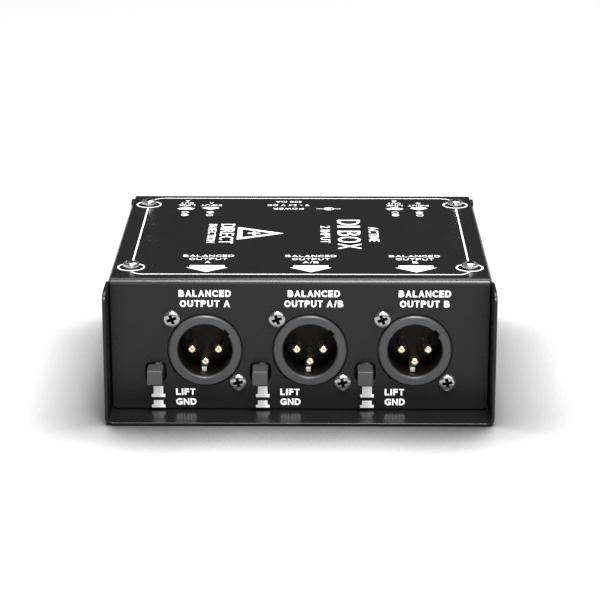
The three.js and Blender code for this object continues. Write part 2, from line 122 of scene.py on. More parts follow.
class Graph:
    """A material's node tree with one shader, reading Object coordinates."""

    def __init__(self, name: str) -> None:
        """Starts an empty tree.

        Args:
            name: the material's name.
        """
        self.material = bpy.data.materials.new(name)
        self.material.use_nodes = True
        self.tree = self.material.node_tree
        self.shader = self.tree.nodes["Principled BSDF"]
        self.place = self.node("ShaderNodeTexCoord").outputs["Object"]

    def node(self, kind: str, **values: object) -> ShaderNode:
        """Adds a node.

        Args:
            kind: the node's type name.
            values: settings by attribute name, or sockets' values by their names.

        Returns:
            The new node.
        """
        node = self.tree.nodes.new(kind)
        for key, value in values.items():
            if hasattr(node, key):
                setattr(node, key, value)
            else:
                node.inputs[key.replace("_", " ")].default_value = value
        return node

    def link(self, source: object, target: object) -> None:
        """Joins an output to an input."""
        self.tree.links.new(source, target)

    def stretched(self, stretch: tuple[float, float, float]) -> object:
        """Object coordinates scaled by a stretch along each axis."""
        mapping = self.node("ShaderNodeMapping")
        mapping.inputs["Scale"].default_value = stretch
        self.link(self.place, mapping.inputs["Vector"])
        return mapping.outputs["Vector"]

    def noise(self, scale: float, detail: float, stretch: tuple[float, float, float]) -> object:
        """A noise field.

        Args:
            scale: cells to the metre.
            detail: octaves.
            stretch: scaling along each axis, which draws the cells out where it is small.

        Returns:
            The field's output.
        """
        noise = self.node("ShaderNodeTexNoise", Scale=scale, Detail=detail, Roughness=0.55)
        self.link(self.stretched(stretch), noise.inputs["Vector"])
        return noise.outputs["Fac"]

    def range(self, source: object, low: float, high: float) -> object:
        """A field's middle part mapped to a range."""
        ranged = self.node("ShaderNodeMapRange")
        ranged.inputs["From Min"].default_value = 0.3
        ranged.inputs["From Max"].default_value = 0.7
        ranged.inputs["To Min"].default_value = low
        ranged.inputs["To Max"].default_value = high
        self.link(source, ranged.inputs["Value"])
        return ranged.outputs["Result"]

    def mix(self, share: object, first: tuple, second: tuple) -> object:
        """Two colours mixed by a field."""
        mix = self.node("ShaderNodeMix", data_type="RGBA")
        self.link(share, mix.inputs["Factor"])
        mix.inputs[6].default_value = (*first, 1.0)
        mix.inputs[7].default_value = (*second, 1.0)
        return mix.outputs[2]

    def bump(self, height: object, depth: float, strength: float) -> None:
        """Raises the shader's surface by a field, `depth` metres from its low to its high."""
        bump = self.node("ShaderNodeBump", Distance=depth, Strength=strength)
        self.link(height, bump.inputs["Height"])
        self.link(bump.outputs["Normal"], self.shader.inputs["Normal"])


@dataclass(frozen=True)
class Finish:
    """A moulded or coated surface: its colour and gloss wander a little, over a fine grain."""

    name: str
    colour: tuple[float, float, float]
    roughness: float
    metallic: float = 0.0
    specular: float = 0.5
    mottle: float = 0.12
    patch: float = 90.0
    gloss_range: float = 0.06
    grain: float = 5200.0
    grain_depth: float = 0.02 * MM
    grain_strength: float = 0.25
    stretch: tuple[float, float, float] = (1.0, 1.0, 1.0)

    def material(self) -> Material:
        """The finish's material, made the first time it is asked for."""
        return bpy.data.materials.get(self.name) or self.make()

    def make(self) -> Material:
        """Builds the material.

        Returns:
            The new material.
        """
        graph = Graph(self.name)
        graph.shader.inputs["Metallic"].default_value = self.metallic
        graph.shader.inputs["Specular IOR Level"].default_value = self.specular
        self.paint(graph)
        grain = graph.noise(self.grain, 2.0, self.stretch)
        patches = graph.noise(self.patch * 6, 3.0, self.stretch)
        low, high = self.roughness - self.gloss_range, self.roughness + self.gloss_range
        graph.link(graph.range(patches, low, high), graph.shader.inputs["Roughness"])
        graph.bump(grain, self.grain_depth, self.grain_strength)
        return graph.material

    def paint(self, graph: Graph) -> None:
        """Gives the shader its colour: two close shades in soft patches."""
        dark = tuple(part * (1 - self.mottle) for part in self.colour)
        light = tuple(min(1.0, part * (1 + self.mottle)) for part in self.colour)
        patches = graph.range(graph.noise(self.patch, 3.0, (1, 1, 1)), 0.0, 1.0)
        graph.link(graph.mix(patches, dark, light), graph.shader.inputs["Base Color"])


@dataclass(frozen=True)
class CircuitFinish(Finish):
    """Green solder mask with copper tracks showing through as paler lines."""

    track: tuple[float, float, float] = (0.03, 0.16, 0.07)
    pitch: float = 420.0

    def paint(self, graph: Graph) -> None:
        """Gives the shader its mask colour, with tracks in stepped lines."""
        cells = graph.node("ShaderNodeTexBrick", Scale=self.pitch, offset=0.37)
        cells.inputs["Color1"].default_value = (*self.colour, 1.0)
        cells.inputs["Color2"].default_value = (*(part * 0.8 for part in self.colour), 1.0)
        cells.inputs["Mortar"].default_value = (*self.track, 1.0)
        cells.inputs["Mortar Size"].default_value = 0.05
        graph.link(graph.place, cells.inputs["Vector"])
        graph.link(cells.outputs["Color"], graph.shader.inputs["Base Color"])


COVER_COAT = Finish(
    "satin_black_coat", (0.0055, 0.0055, 0.0052), 0.27,
    specular=0.28, gloss_range=0.015, grain=3800.0,
)
BASE_COAT = Finish(
    "semi_gloss_black_coat", (0.0055, 0.0055, 0.0052), 0.24,
    specular=0.3, gloss_range=0.015, grain=3000.0,
    grain_strength=0.12,
)
BRIGHT_STEEL = Finish(
    "bright_steel", (0.50, 0.49, 0.48), 0.48, metallic=1.0, mottle=0.05, grain=2500.0,
    grain_strength=0.15, stretch=(1.0, 6.0, 1.0),
)
DARK_NICKEL = Finish(
    "dark_nickel", (0.12, 0.115, 0.11), 0.28, metallic=1.0, mottle=0.14, patch=700.0, grain=2600.0,
    grain_strength=0.2,
)
# Painted shade: a dark metal on the faces inside the screws' cross recesses.
RECESS_SHADE = Finish("recess_shadow", (0.02, 0.02, 0.02), 0.5, metallic=1.0)
RING_GREY = Finish("grey_ring_plastic", (0.038, 0.039, 0.041), 0.42, grain=5200.0)
# Black plastic for the pins' insert, and painted shade as the liner inside each output's mouth.
INSERT_BLACK_AND_CUP_SHADE = Finish("black_insert_plastic_and_painted_cup_shade", (0.004, 0.0033, 0.0023), 0.5, specular=0.2, grain=4200.0)
MOULDED_BLACK = Finish("moulded_black_plastic", (0.013, 0.013, 0.014), 0.45)
CAP_GREY = Finish("button_cap_plastic", (0.043, 0.045, 0.048), 0.38, grain=5600.0)
GOLD = Finish(
    "gold_plating", (0.95, 0.80, 0.52), 0.26,
    metallic=1.0, mottle=0.04, gloss_range=0.04, grain=3000.0,
    grain_strength=0.06,
)
SILVER = Finish(
    "silver_plating", (0.74, 0.73, 0.70), 0.28, metallic=1.0, mottle=0.06, grain=2500.0,
    grain_strength=0.12, stretch=(1.0, 8.0, 1.0),
)
TINNED = Finish("tinned_contact", (0.84, 0.83, 0.78), 0.5, metallic=1.0, mottle=0.05, patch=600.0)
SOLDER_MASK = CircuitFinish("solder_mask", (0.010, 0.085, 0.038), 0.36)
SLEEVE = Finish("capacitor_sleeve_film", (0.013, 0.022, 0.065), 0.25, gloss_range=0.03)
COPPER = Finish(
    "enamelled_copper", (0.62, 0.27, 0.11), 0.3, metallic=1.0, grain=2600.0, stretch=(1.0, 1.0, 5.0)
)
INK = Finish(
    "white_screen_print", (0.96, 0.96, 0.96), 0.6, specular=0.25, mottle=0.02, gloss_range=0.04,
    grain=7000.0, grain_strength=0.1,
)
RESISTOR_BLUE = Finish("resistor_lacquer", (0.12, 0.22, 0.30), 0.35, gloss_range=0.03)


# ---------------------------------------------------------------- mesh tools


def middle(node: str) -> Vector:
    """The middle of a frame node's box."""
    low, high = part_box(node)
    return (low + high) / 2


def block(size: tuple[float, float, float], centre: tuple[float, float, float] = ORIGIN) -> BMesh:
    """A box.

    Args:
        size: its lengths along X, Y and Z.
        centre: its middle.

    Returns:
        The box's mesh.
    """
    bm = bmesh.new()
    bmesh.ops.create_cube(bm, size=1.0)
    bmesh.ops.scale(bm, vec=size, verts=bm.verts)
    bmesh.ops.translate(bm, vec=centre, verts=bm.verts)
    return bm


def rod(radius: float, start: float, end: float, segments: int = 32) -> BMesh:
    """A round rod along Z, from one height to another."""
    bm = bmesh.new()
    bmesh.ops.create_cone(
        bm, cap_ends=True, segments=segments, radius1=radius, radius2=radius, depth=end - start
    )
    bmesh.ops.translate(bm, vec=(0, 0, (start + end) / 2), verts=bm.verts)
    return bm


def lathe(profile: list[tuple[float, float]], segments: int = 48, closed: bool = False) -> BMesh:
    """Spins a chain of points about Z.

    Args:
        profile: (radius, height) points, which start and end on the axis unless the chain closes.
        segments: steps in the full turn.
        closed: whether the last point joins the first.

    Returns:
        The turned mesh.
    """
    bm = bmesh.new()
    chain = [bm.verts.new((radius, 0.0, height)) for radius, height in profile]
    follow = chain[1:] + chain[:1] if closed else chain[1:]
    edges = [bm.edges.new(pair) for pair in zip(chain, follow)]
    bmesh.ops.spin(
        bm, geom=chain + edges, cent=ORIGIN, axis=UP, dvec=ORIGIN, angle=TURN, steps=segments,
        use_merge=True,
    )
    bmesh.ops.remove_doubles(bm, verts=bm.verts, dist=WELD)
    bmesh.ops.recalc_face_normals(bm, faces=bm.faces)
    return bm


def thread(crest: float, root: float, start: float, end: float, pitch: float) -> list:
    """The zigzag of a thread's profile, from one height to another."""
    turns = max(1, round(abs(end - start) / pitch))
    step = (end - start) / turns
    points = []
    for turn in range(turns):
        points.append((crest, start + step * (turn + 0.2)))
        points.append((root, start + step * (turn + 0.7)))
    return points


def slab(corners: list[tuple[float, ...]], depth: float) -> BMesh:
    """A flat outline, drawn up along Z.

    Args:
        corners: (x, y) or (x, y, radius) for each corner in turn, a radius rounding that corner.
        depth: how far it is drawn up from height 0.

    Returns:
        The closed slab.
    """
    bm = bmesh.new()
    points = [bm.verts.new((corner[0], corner[1], 0.0)) for corner in corners]
    bm.faces.new(points)
    for point, corner in zip(points, corners):
        if len(corner) > 2 and corner[2] > 0:
            bmesh.ops.bevel(
                bm, geom=[point], offset=corner[2], offset_type="OFFSET", segments=6, profile=0.5,
                affect="VERTICES", material=-1,
            )
    return raise_flat(bm, depth)


def rounded_rectangle(width: float, height: float, radius: float, depth: float) -> BMesh:
    """A slab with four equal round corners, its middle on the axis."""
    signs = ((-1, -1), (1, -1), (1, 1), (-1, 1))
    return slab([(x * width / 2, y * height / 2, radius) for x, y in signs], depth)


def raise_flat(bm: BMesh, depth: float) -> BMesh:
    """Draws flat faces up along Z into a closed body."""
    raised = bmesh.ops.extrude_face_region(bm, geom=bm.faces[:])
    moved = [item for item in raised["geom"] if isinstance(item, bmesh.types.BMVert)]
    bmesh.ops.translate(bm, vec=(0, 0, depth), verts=moved)
    bmesh.ops.recalc_face_normals(bm, faces=bm.faces)
    return bm


def band(inner: float, outer: float, start: float, sweep: float, depth: float) -> BMesh:
    """A flat ring, or part of one, drawn up along Z.

    Args:
        inner: inner radius.
        outer: outer radius.
        start: the angle from +X where it starts.
        sweep: the angle that it covers, TURN for a whole ring.
        depth: its thickness.

    Returns:
        The closed band.
    """
    bm = bmesh.new()
    ends = [
        bm.verts.new((radius * math.cos(start), radius * math.sin(start), 0))
        for radius in (inner, outer)
    ]
    edge = bm.edges.new(ends)
    whole = math.isclose(sweep, TURN)
    steps = max(6, round(48 * sweep / TURN))
    bmesh.ops.spin(
        bm, geom=[*ends, edge], cent=ORIGIN, axis=UP, dvec=ORIGIN, angle=sweep, steps=steps,
        use_merge=whole,
    )
    return raise_flat(bm, depth)


def round_edges(bm: BMesh, width: float, segments: int = 3, angle: float = 0.6) -> BMesh:
    """Bevels each edge whose faces meet at more than an angle.

    Args:
        bm: the mesh, with its faces pointing out.
        width: the bevel's width on each face.
        segments: steps across the bevel.
        angle: the least angle between faces, in radians.

    Returns:
        The same mesh.
    """
    sharp = [edge for edge in bm.edges if edge.calc_face_angle(0.0) > angle]
    bmesh.ops.bevel(
        bm, geom=sharp, offset=width, offset_type="OFFSET", segments=segments, profile=0.5,
        affect="EDGES", material=-1, clamp_overlap=True,
    )
    return bm


def moved(bm: BMesh, matrix: Matrix) -> BMesh:
    """The mesh, turned and moved by a matrix."""
    bmesh.ops.transform(bm, matrix=matrix, verts=bm.verts)
    return bm


def shifted(bm: BMesh, x: float = 0.0, y: float = 0.0, z: float = 0.0) -> BMesh:
    """The mesh, moved."""
    bmesh.ops.translate(bm, vec=(x, y, z), verts=bm.verts)
    return bm


def joined(parts: list[BMesh]) -> BMesh:
    """One mesh that holds several, which are used up."""
    whole = bmesh.new()
    for part in parts:
        mesh = bpy.data.meshes.new("part")
        part.to_mesh(mesh)
        part.free()
        whole.from_mesh(mesh)
        bpy.data.meshes.remove(mesh)
    return whole


def as_object(bm: BMesh, name: str) -> Object:
    """A linked object that holds the mesh, which is used up."""
    bmesh.ops.recalc_face_normals(bm, faces=bm.faces)
    mesh = bpy.data.meshes.new(name)
    bm.to_mesh(mesh)
    bm.free()
    piece = bpy.data.objects.new(name, mesh)
    bpy.context.scene.collection.objects.link(piece)
    return piece


def apply_modifiers(piece: Object) -> Object:
    """Makes a piece's modifiers part of its mesh."""
    depsgraph = bpy.context.evaluated_depsgraph_get()
    worked = piece.evaluated_get(depsgraph)
    mesh = bpy.data.meshes.new_from_object(
        worked, preserve_all_data_layers=True, depsgraph=depsgraph
    )
    before = piece.data
    piece.modifiers.clear()
    piece.data = mesh
    bpy.data.meshes.remove(before)
    return piece


def carve(piece: Object, cutters: list[BMesh], operation: str = "DIFFERENCE") -> Object:
    """Cuts, joins or keeps a piece by other solids.

    Args:
        piece: the piece to change.
        cutters: closed meshes, which are used up.
        operation: the Boolean modifier's operation.

    Returns:
        The same piece.
    """
    tool = as_object(joined(cutters), "tool")
    boolean = piece.modifiers.new("carve", "BOOLEAN")
    boolean.operation = operation
    boolean.solver = "EXACT"
    boolean.use_self = len(cutters) > 1
    boolean.object = tool
    apply_modifiers(piece)
    bpy.data.objects.remove(tool)
    return piece


def soften(piece: Object, width: float, segments: int = 2, angle: float = 0.6) -> Object:
    """Rounds a piece's sharp edges with a small bevel."""
    bevel = piece.modifiers.new("edges", "BEVEL")
    bevel.width = width
    bevel.segments = segments
    bevel.limit_method = "ANGLE"
    bevel.angle_limit = angle
    bevel.use_clamp_overlap = True
    return apply_modifiers(piece)


def shade(piece: Object, angle: float = 1.0) -> Object:
    """Shades a piece smooth across edges under an angle, with its broad faces kept flat."""
    piece.data.shade_smooth()
    piece.data.set_sharp_from_angle(angle=angle)
    weighted = piece.modifiers.new("weighted", "WEIGHTED_NORMAL")
    weighted.keep_sharp = True
    return apply_modifiers(piece)


def dress(piece: Object, finish: Finish, slot: Slot, *nodes: str, body: str = CASE) -> Object:
    """Gives a piece its finish, its body and the nodes that it stands for.

    Args:
        piece: the finished piece, in place.
        finish: its finish.
        slot: the record's slot for that finish; not used.
        nodes: the frame nodes that it replaces.
        body: the body that it rides on.

    Returns:
        The same piece.
    """
    shade(piece)
    if not piece.data.materials:
        piece.data.materials.append(finish.material())
    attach(piece, body)
    if nodes:
        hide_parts(*nodes)
    return piece


# ---------------------------------------------------------------- the case


@dataclass
class Case:
    """The two folded sheets: the base with its walls and flanges, and the cover."""

    sheet: float = 1.0 * MM
    base_bend: float = 2.5 * MM
    cover_bend: float = 2.0 * MM
    rear_bend: float = 1.2 * MM
    flange_bend: float = 2.0 * MM
    lip_corner: float = 5.0 * MM
    rear_corner: float = 1.0 * MM
    flange_width: float = 12.0 * MM
    flange_foot: float = 38.2 * MM
    flange_top: float = 40.7 * MM
    flange_start: float = 2.3 * MM
    flange_end: float = 96.5 * MM
    relief: float = 1.0 * MM
    screw_hole: float = 1.8 * MM
    output_hole: float = 11.3 * MM
    jack_hole: float = 5.05 * MM
    inlet_hole: float = 4.25 * MM
    button_hole: tuple[float, float, float] = (6.2 * MM, 6.0 * MM, 1.6 * MM)
    edge: float = 0.2 * MM
    fold_steps: int = 10

    def build(self) -> list[Object]:
        """Makes both sheets."""
        return [self.base(), self.cover()]

    def base(self) -> Object:
        """The bottom, the walls and the flanges turned in under the cover."""
        low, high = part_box("base_shell")
        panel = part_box("top_cover")[0].y
        start, end = panel + self.flange_start, panel + self.flange_end
        rows = [low.y, start - self.relief, start, end, end + self.relief, high.y]
        bm = bmesh.new()
        chain = [bm.verts.new((low.x, y, self.flange_foot)) for y in rows]
        edges = [bm.edges.new(pair) for pair in zip(chain, chain[1:])]
        edges = self.drawn(bm, edges, (0, 0, low.z - self.flange_foot))
        edges = self.drawn(bm, edges, (high.x - low.x, 0, 0))
        self.drawn(bm, edges, (0, 0, self.flange_foot - low.z))
        for x, inward in ((low.x, 1), (high.x, -1)):
            for first, last in ((rows[0], rows[1]), (rows[4], rows[5])):
                foot = self.along(bm, x, self.flange_foot, first, last)
                self.drawn(bm, foot, (0, 0, high.z - self.flange_foot))
            rise = self.flange_top - self.flange_foot
            edges = self.drawn(bm, self.along(bm, x, self.flange_foot, start, end), (0, 0, rise))
            self.drawn(bm, edges, (inward * self.flange_width, 0, 0))
        for x in (low.x, high.x):
            self.fold(bm, self.along(bm, x, low.z, low.y, high.y), self.base_bend)
            self.fold(bm, self.along(bm, x, self.flange_top, start, end), self.flange_bend)
            self.round_corner(bm, Vector((x, low.y, high.z)), self.lip_corner)
            self.round_corner(bm, Vector((x, high.y, high.z)), self.rear_corner)
        piece = self.thickened(bm, "base_shell_sheet")
        carve(piece, self.cover_screw_holes())
        return dress(soften(piece, self.edge), BASE_COAT, Slot.BLACK_COAT, "base_shell")

    def cover(self) -> Object:
        """The front panel, the top and the rear panel."""
        low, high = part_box("top_cover")
        bm = bmesh.new()
        chain = [bm.verts.new((x, low.y, low.z)) for x in (low.x, high.x)]
        edges = self.drawn(bm, [bm.edges.new(chain)], (0, 0, high.z - low.z))
        edges = self.drawn(bm, edges, (0, high.y - low.y, 0))
        self.drawn(bm, edges, (0, 0, low.z - high.z))
        for y, radius in ((low.y, self.cover_bend), (high.y, self.rear_bend)):
            self.fold(bm, self.across(bm, y, high.z), radius)
            for x in (low.x, high.x):
                self.round_corner(bm, Vector((x, y, low.z)), self.base_bend - self.sheet)
        piece = self.thickened(bm, "top_cover_sheet")
        carve(piece, self.cover_screw_holes() + self.front_holes() + self.rear_holes())
        return dress(soften(piece, self.edge), COVER_COAT, Slot.BLACK_COAT, "top_cover")

    def thickened(self, bm: BMesh, name: str) -> Object:
        """Turns a folded surface, the sheet's outside, into a sheet.

        Args:
            bm: the surface, which is used up.
            name: the piece's name.

        Returns:
            The closed sheet.
        """
        bmesh.ops.recalc_face_normals(bm, faces=bm.faces)
        centre = Vector((0, 0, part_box("top_cover")[1].z / 2))
        broad = max(bm.faces, key=lambda face: face.calc_area())
        if broad.normal.dot(broad.calc_center_median() - centre) < 0:
            bmesh.ops.reverse_faces(bm, faces=bm.faces)
        mesh = bpy.data.meshes.new(name)
        bm.to_mesh(mesh)
        bm.free()
        piece = bpy.data.objects.new(name, mesh)
        bpy.context.scene.collection.objects.link(piece)
        solid = piece.modifiers.new("sheet", "SOLIDIFY")
        solid.thickness = self.sheet
        solid.offset = -1.0
        solid.use_even_offset = True
        return apply_modifiers(piece)

    def drawn(self, bm: BMesh, edges: list, step: tuple[float, float, float]) -> list:
        """Draws edges out by a step and returns the new edges."""
        geometry = bmesh.ops.extrude_edge_only(bm, edges=edges)["geom"]
        verts = [item for item in geometry if isinstance(item, bmesh.types.BMVert)]
        bmesh.ops.translate(bm, vec=step, verts=verts)
        return [
            item for item in geometry
            if isinstance(item, bmesh.types.BMEdge) and all(vert in verts for vert in item.verts)
        ]

    def along(self, bm: BMesh, x: float, z: float, start: float, end: float) -> list:
        """The edges that run along Y at one x and z, between two ends."""
        def inside(vert: bmesh.types.BMVert) -> bool:
            near = abs(vert.co.x - x) < WELD and abs(vert.co.z - z) < WELD
            return near and start - WELD < vert.co.y < end + WELD
        return [edge for edge in bm.edges if all(inside(vert) for vert in edge.verts)]

    def across(self, bm: BMesh, y: float, z: float) -> list:
        """The edges that run along X at one y and z."""
        def inside(vert: bmesh.types.BMVert) -> bool:
            return abs(vert.co.y - y) < WELD and abs(vert.co.z - z) < WELD
        return [edge for edge in bm.edges if all(inside(vert) for vert in edge.verts)]

    def fold(self, bm: BMesh, edges: list, radius: float) -> None:
        """Rounds a fold's edges to a radius."""
        bmesh.ops.bevel(
            bm, geom=edges, offset=radius, offset_type="OFFSET", segments=self.fold_steps,
            profile=0.5, affect="EDGES", material=-1,
        )

    def round_corner(self, bm: BMesh, place: Vector, radius: float) -> None:
        """Rounds the sheet's corner at a place."""
        corner = min(bm.verts, key=lambda vert: (vert.co - place).length)
        bmesh.ops.bevel(
            bm, geom=[corner], offset=radius, offset_type="OFFSET", segments=self.fold_steps,
            profile=0.5, affect="VERTICES", material=-1,
        )

    def cover_screw_holes(self) -> list[BMesh]:
        """Cutters through the top and the flanges for the four cover screws."""
        cutters = []
        for end in ("front", "rear"):
            for side in ("left", "right"):
                place = middle(f"cover_screw_{end}_{side}")
                hole = rod(self.screw_hole, self.flange_foot, self.flange_top + 5 * MM)
                cutters.append(shifted(hole, place.x, place.y))
        return cutters

    def front_holes(self) -> list[BMesh]:
        """Cutters through the front panel for the outputs, their screws and the buttons."""
        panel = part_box("top_cover")[0].y
        reach = 4 * MM
        cutters = []
        for channel in CHANNELS:
            centre = middle(f"output_{channel}_housing")
            place = Matrix.Translation((centre.x, panel, centre.z)) @ FORWARD
            cutters.append(moved(rod(self.output_hole, -reach, reach, 96), place))
            for which in ("upper", "lower"):
                screw = middle(f"output_{channel}_screw_{which}")
                place = Matrix.Translation((screw.x, panel, screw.z)) @ FORWARD
                cutters.append(moved(rod(self.screw_hole, -reach, reach), place))
            button = middle(f"lift_{channel}_button")
            place = Matrix.Translation((button.x, panel + reach, button.z)) @ FORWARD
            cutters.append(moved(rounded_rectangle(*self.button_hole, 2 * reach), place))
        return cutters

    def rear_holes(self) -> list[BMesh]:
        """Cutters through the rear panel for the jacks and the power inlet."""
        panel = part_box("top_cover")[1].y
        reach = 4 * MM
        holes = [
            (middle(f"{role}_{side}_nut"), self.jack_hole)
            for role in ("input", "link") for side in "ab"
        ]
        holes.append((middle("power_inlet_pin"), self.inlet_hole))
        cutters = []
        for centre, radius in holes:
            place = Matrix.Translation((centre.x, panel, centre.z)) @ BACKWARD
            cutters.append(moved(rod(radius, -reach, reach, 48), place))
        return cutters


# ---------------------------------------------------------------- screws


@dataclass
class PanScrew:
    """A pan-head machine screw with a cross recess, head towards local +Z and its seat at 0."""

    head: float
    height: float
    shank: float
    length: float
    finish: Finish
    rim: float = 0.6
    recess: float = 0.66
    blade: float = 0.2
    steps: int = 8

    def mesh(self, name: str) -> Object:
        """Makes the screw at the origin.

        Args:
            name: the piece's name.

        Returns:
            The screw as an object that still has to be placed.
        """
        radius = self.head / 2
        crown = []
        for step in range(self.steps + 1):
            turn = step / self.steps * QUARTER
            rise = self.rim + (1 - self.rim) * math.cos(turn)
            crown.append((radius * math.sin(turn), self.height * rise))
        shank = self.shank / 2
        root = shank * 0.82
        body = [(radius, 0.0), (shank, 0.0)]
        body += thread(shank, root, -0.4 * MM, -self.length + 0.4 * MM, 0.5 * MM)
        body += [(root, -self.length), (0.0, -self.length)]
        piece = as_object(lathe(crown + body, 40), name)
        for finish in (self.finish, RECESS_SHADE):
            piece.data.materials.append(finish.material())
        return carve(piece, [self.blade_cutter(turn) for turn in (0.0, QUARTER)])

    def blade_cutter(self, turn: float) -> BMesh:
        """One tapered wing of the recess, as long as the head allows."""
        deep = self.height * 1.5
        bm = bmesh.new()
        half_diagonal = math.sqrt(0.5)
        bmesh.ops.create_cone(
            bm, cap_ends=True, segments=4,
            radius1=half_diagonal * 0.3, radius2=half_diagonal, depth=deep,
        )
        eighth = Matrix.Rotation(QUARTER / 2, 3, "Z")
        bmesh.ops.rotate(bm, cent=ORIGIN, matrix=eighth, verts=bm.verts)
        cross = (self.head * self.recess, self.head * self.blade, 1)
        bmesh.ops.scale(bm, vec=cross, verts=bm.verts)
        shifted(bm, z=self.height - deep * 0.42)
        # The recess's faces take the second material, the painted shade.
        for face in bm.faces:
            face.material_index = 1
        return moved(bm, Matrix.Rotation(turn, 4, "Z"))


@dataclass
class CoverScrews:
    """The four bright screws that hold the cover to the flanges."""

    screw: PanScrew = field(
        default_factory=lambda: PanScrew(4.9 * MM, 1.9 * MM, 3.0 * MM, 6.6 * MM, BRIGHT_STEEL)
    )
    turns: tuple[float, ...] = (0.25, 0.95, 1.3, 0.6)

    def build(self) -> list[Object]:
        """Makes the screws, each turned its own way."""
        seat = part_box("top_cover")[1].z
        places = [(end, side) for end in ("front", "rear") for side in ("left", "right")]
        pieces = []
        for turn, (end, side) in zip(self.turns, places):
            node = f"cover_screw_{end}_{side}"
            centre = middle(node)
            piece = self.screw.mesh(f"{node}_bright")
            place = Matrix.Translation((centre.x, centre.y, seat)) @ Matrix.Rotation(turn, 4, "Z")
            piece.data.transform(place)
            pieces.append(dress(soften(piece, 0.07 * MM), BRIGHT_STEEL, Slot.BRIGHT_STEEL, node))
        return pieces


# ---------------------------------------------------------------- outputs


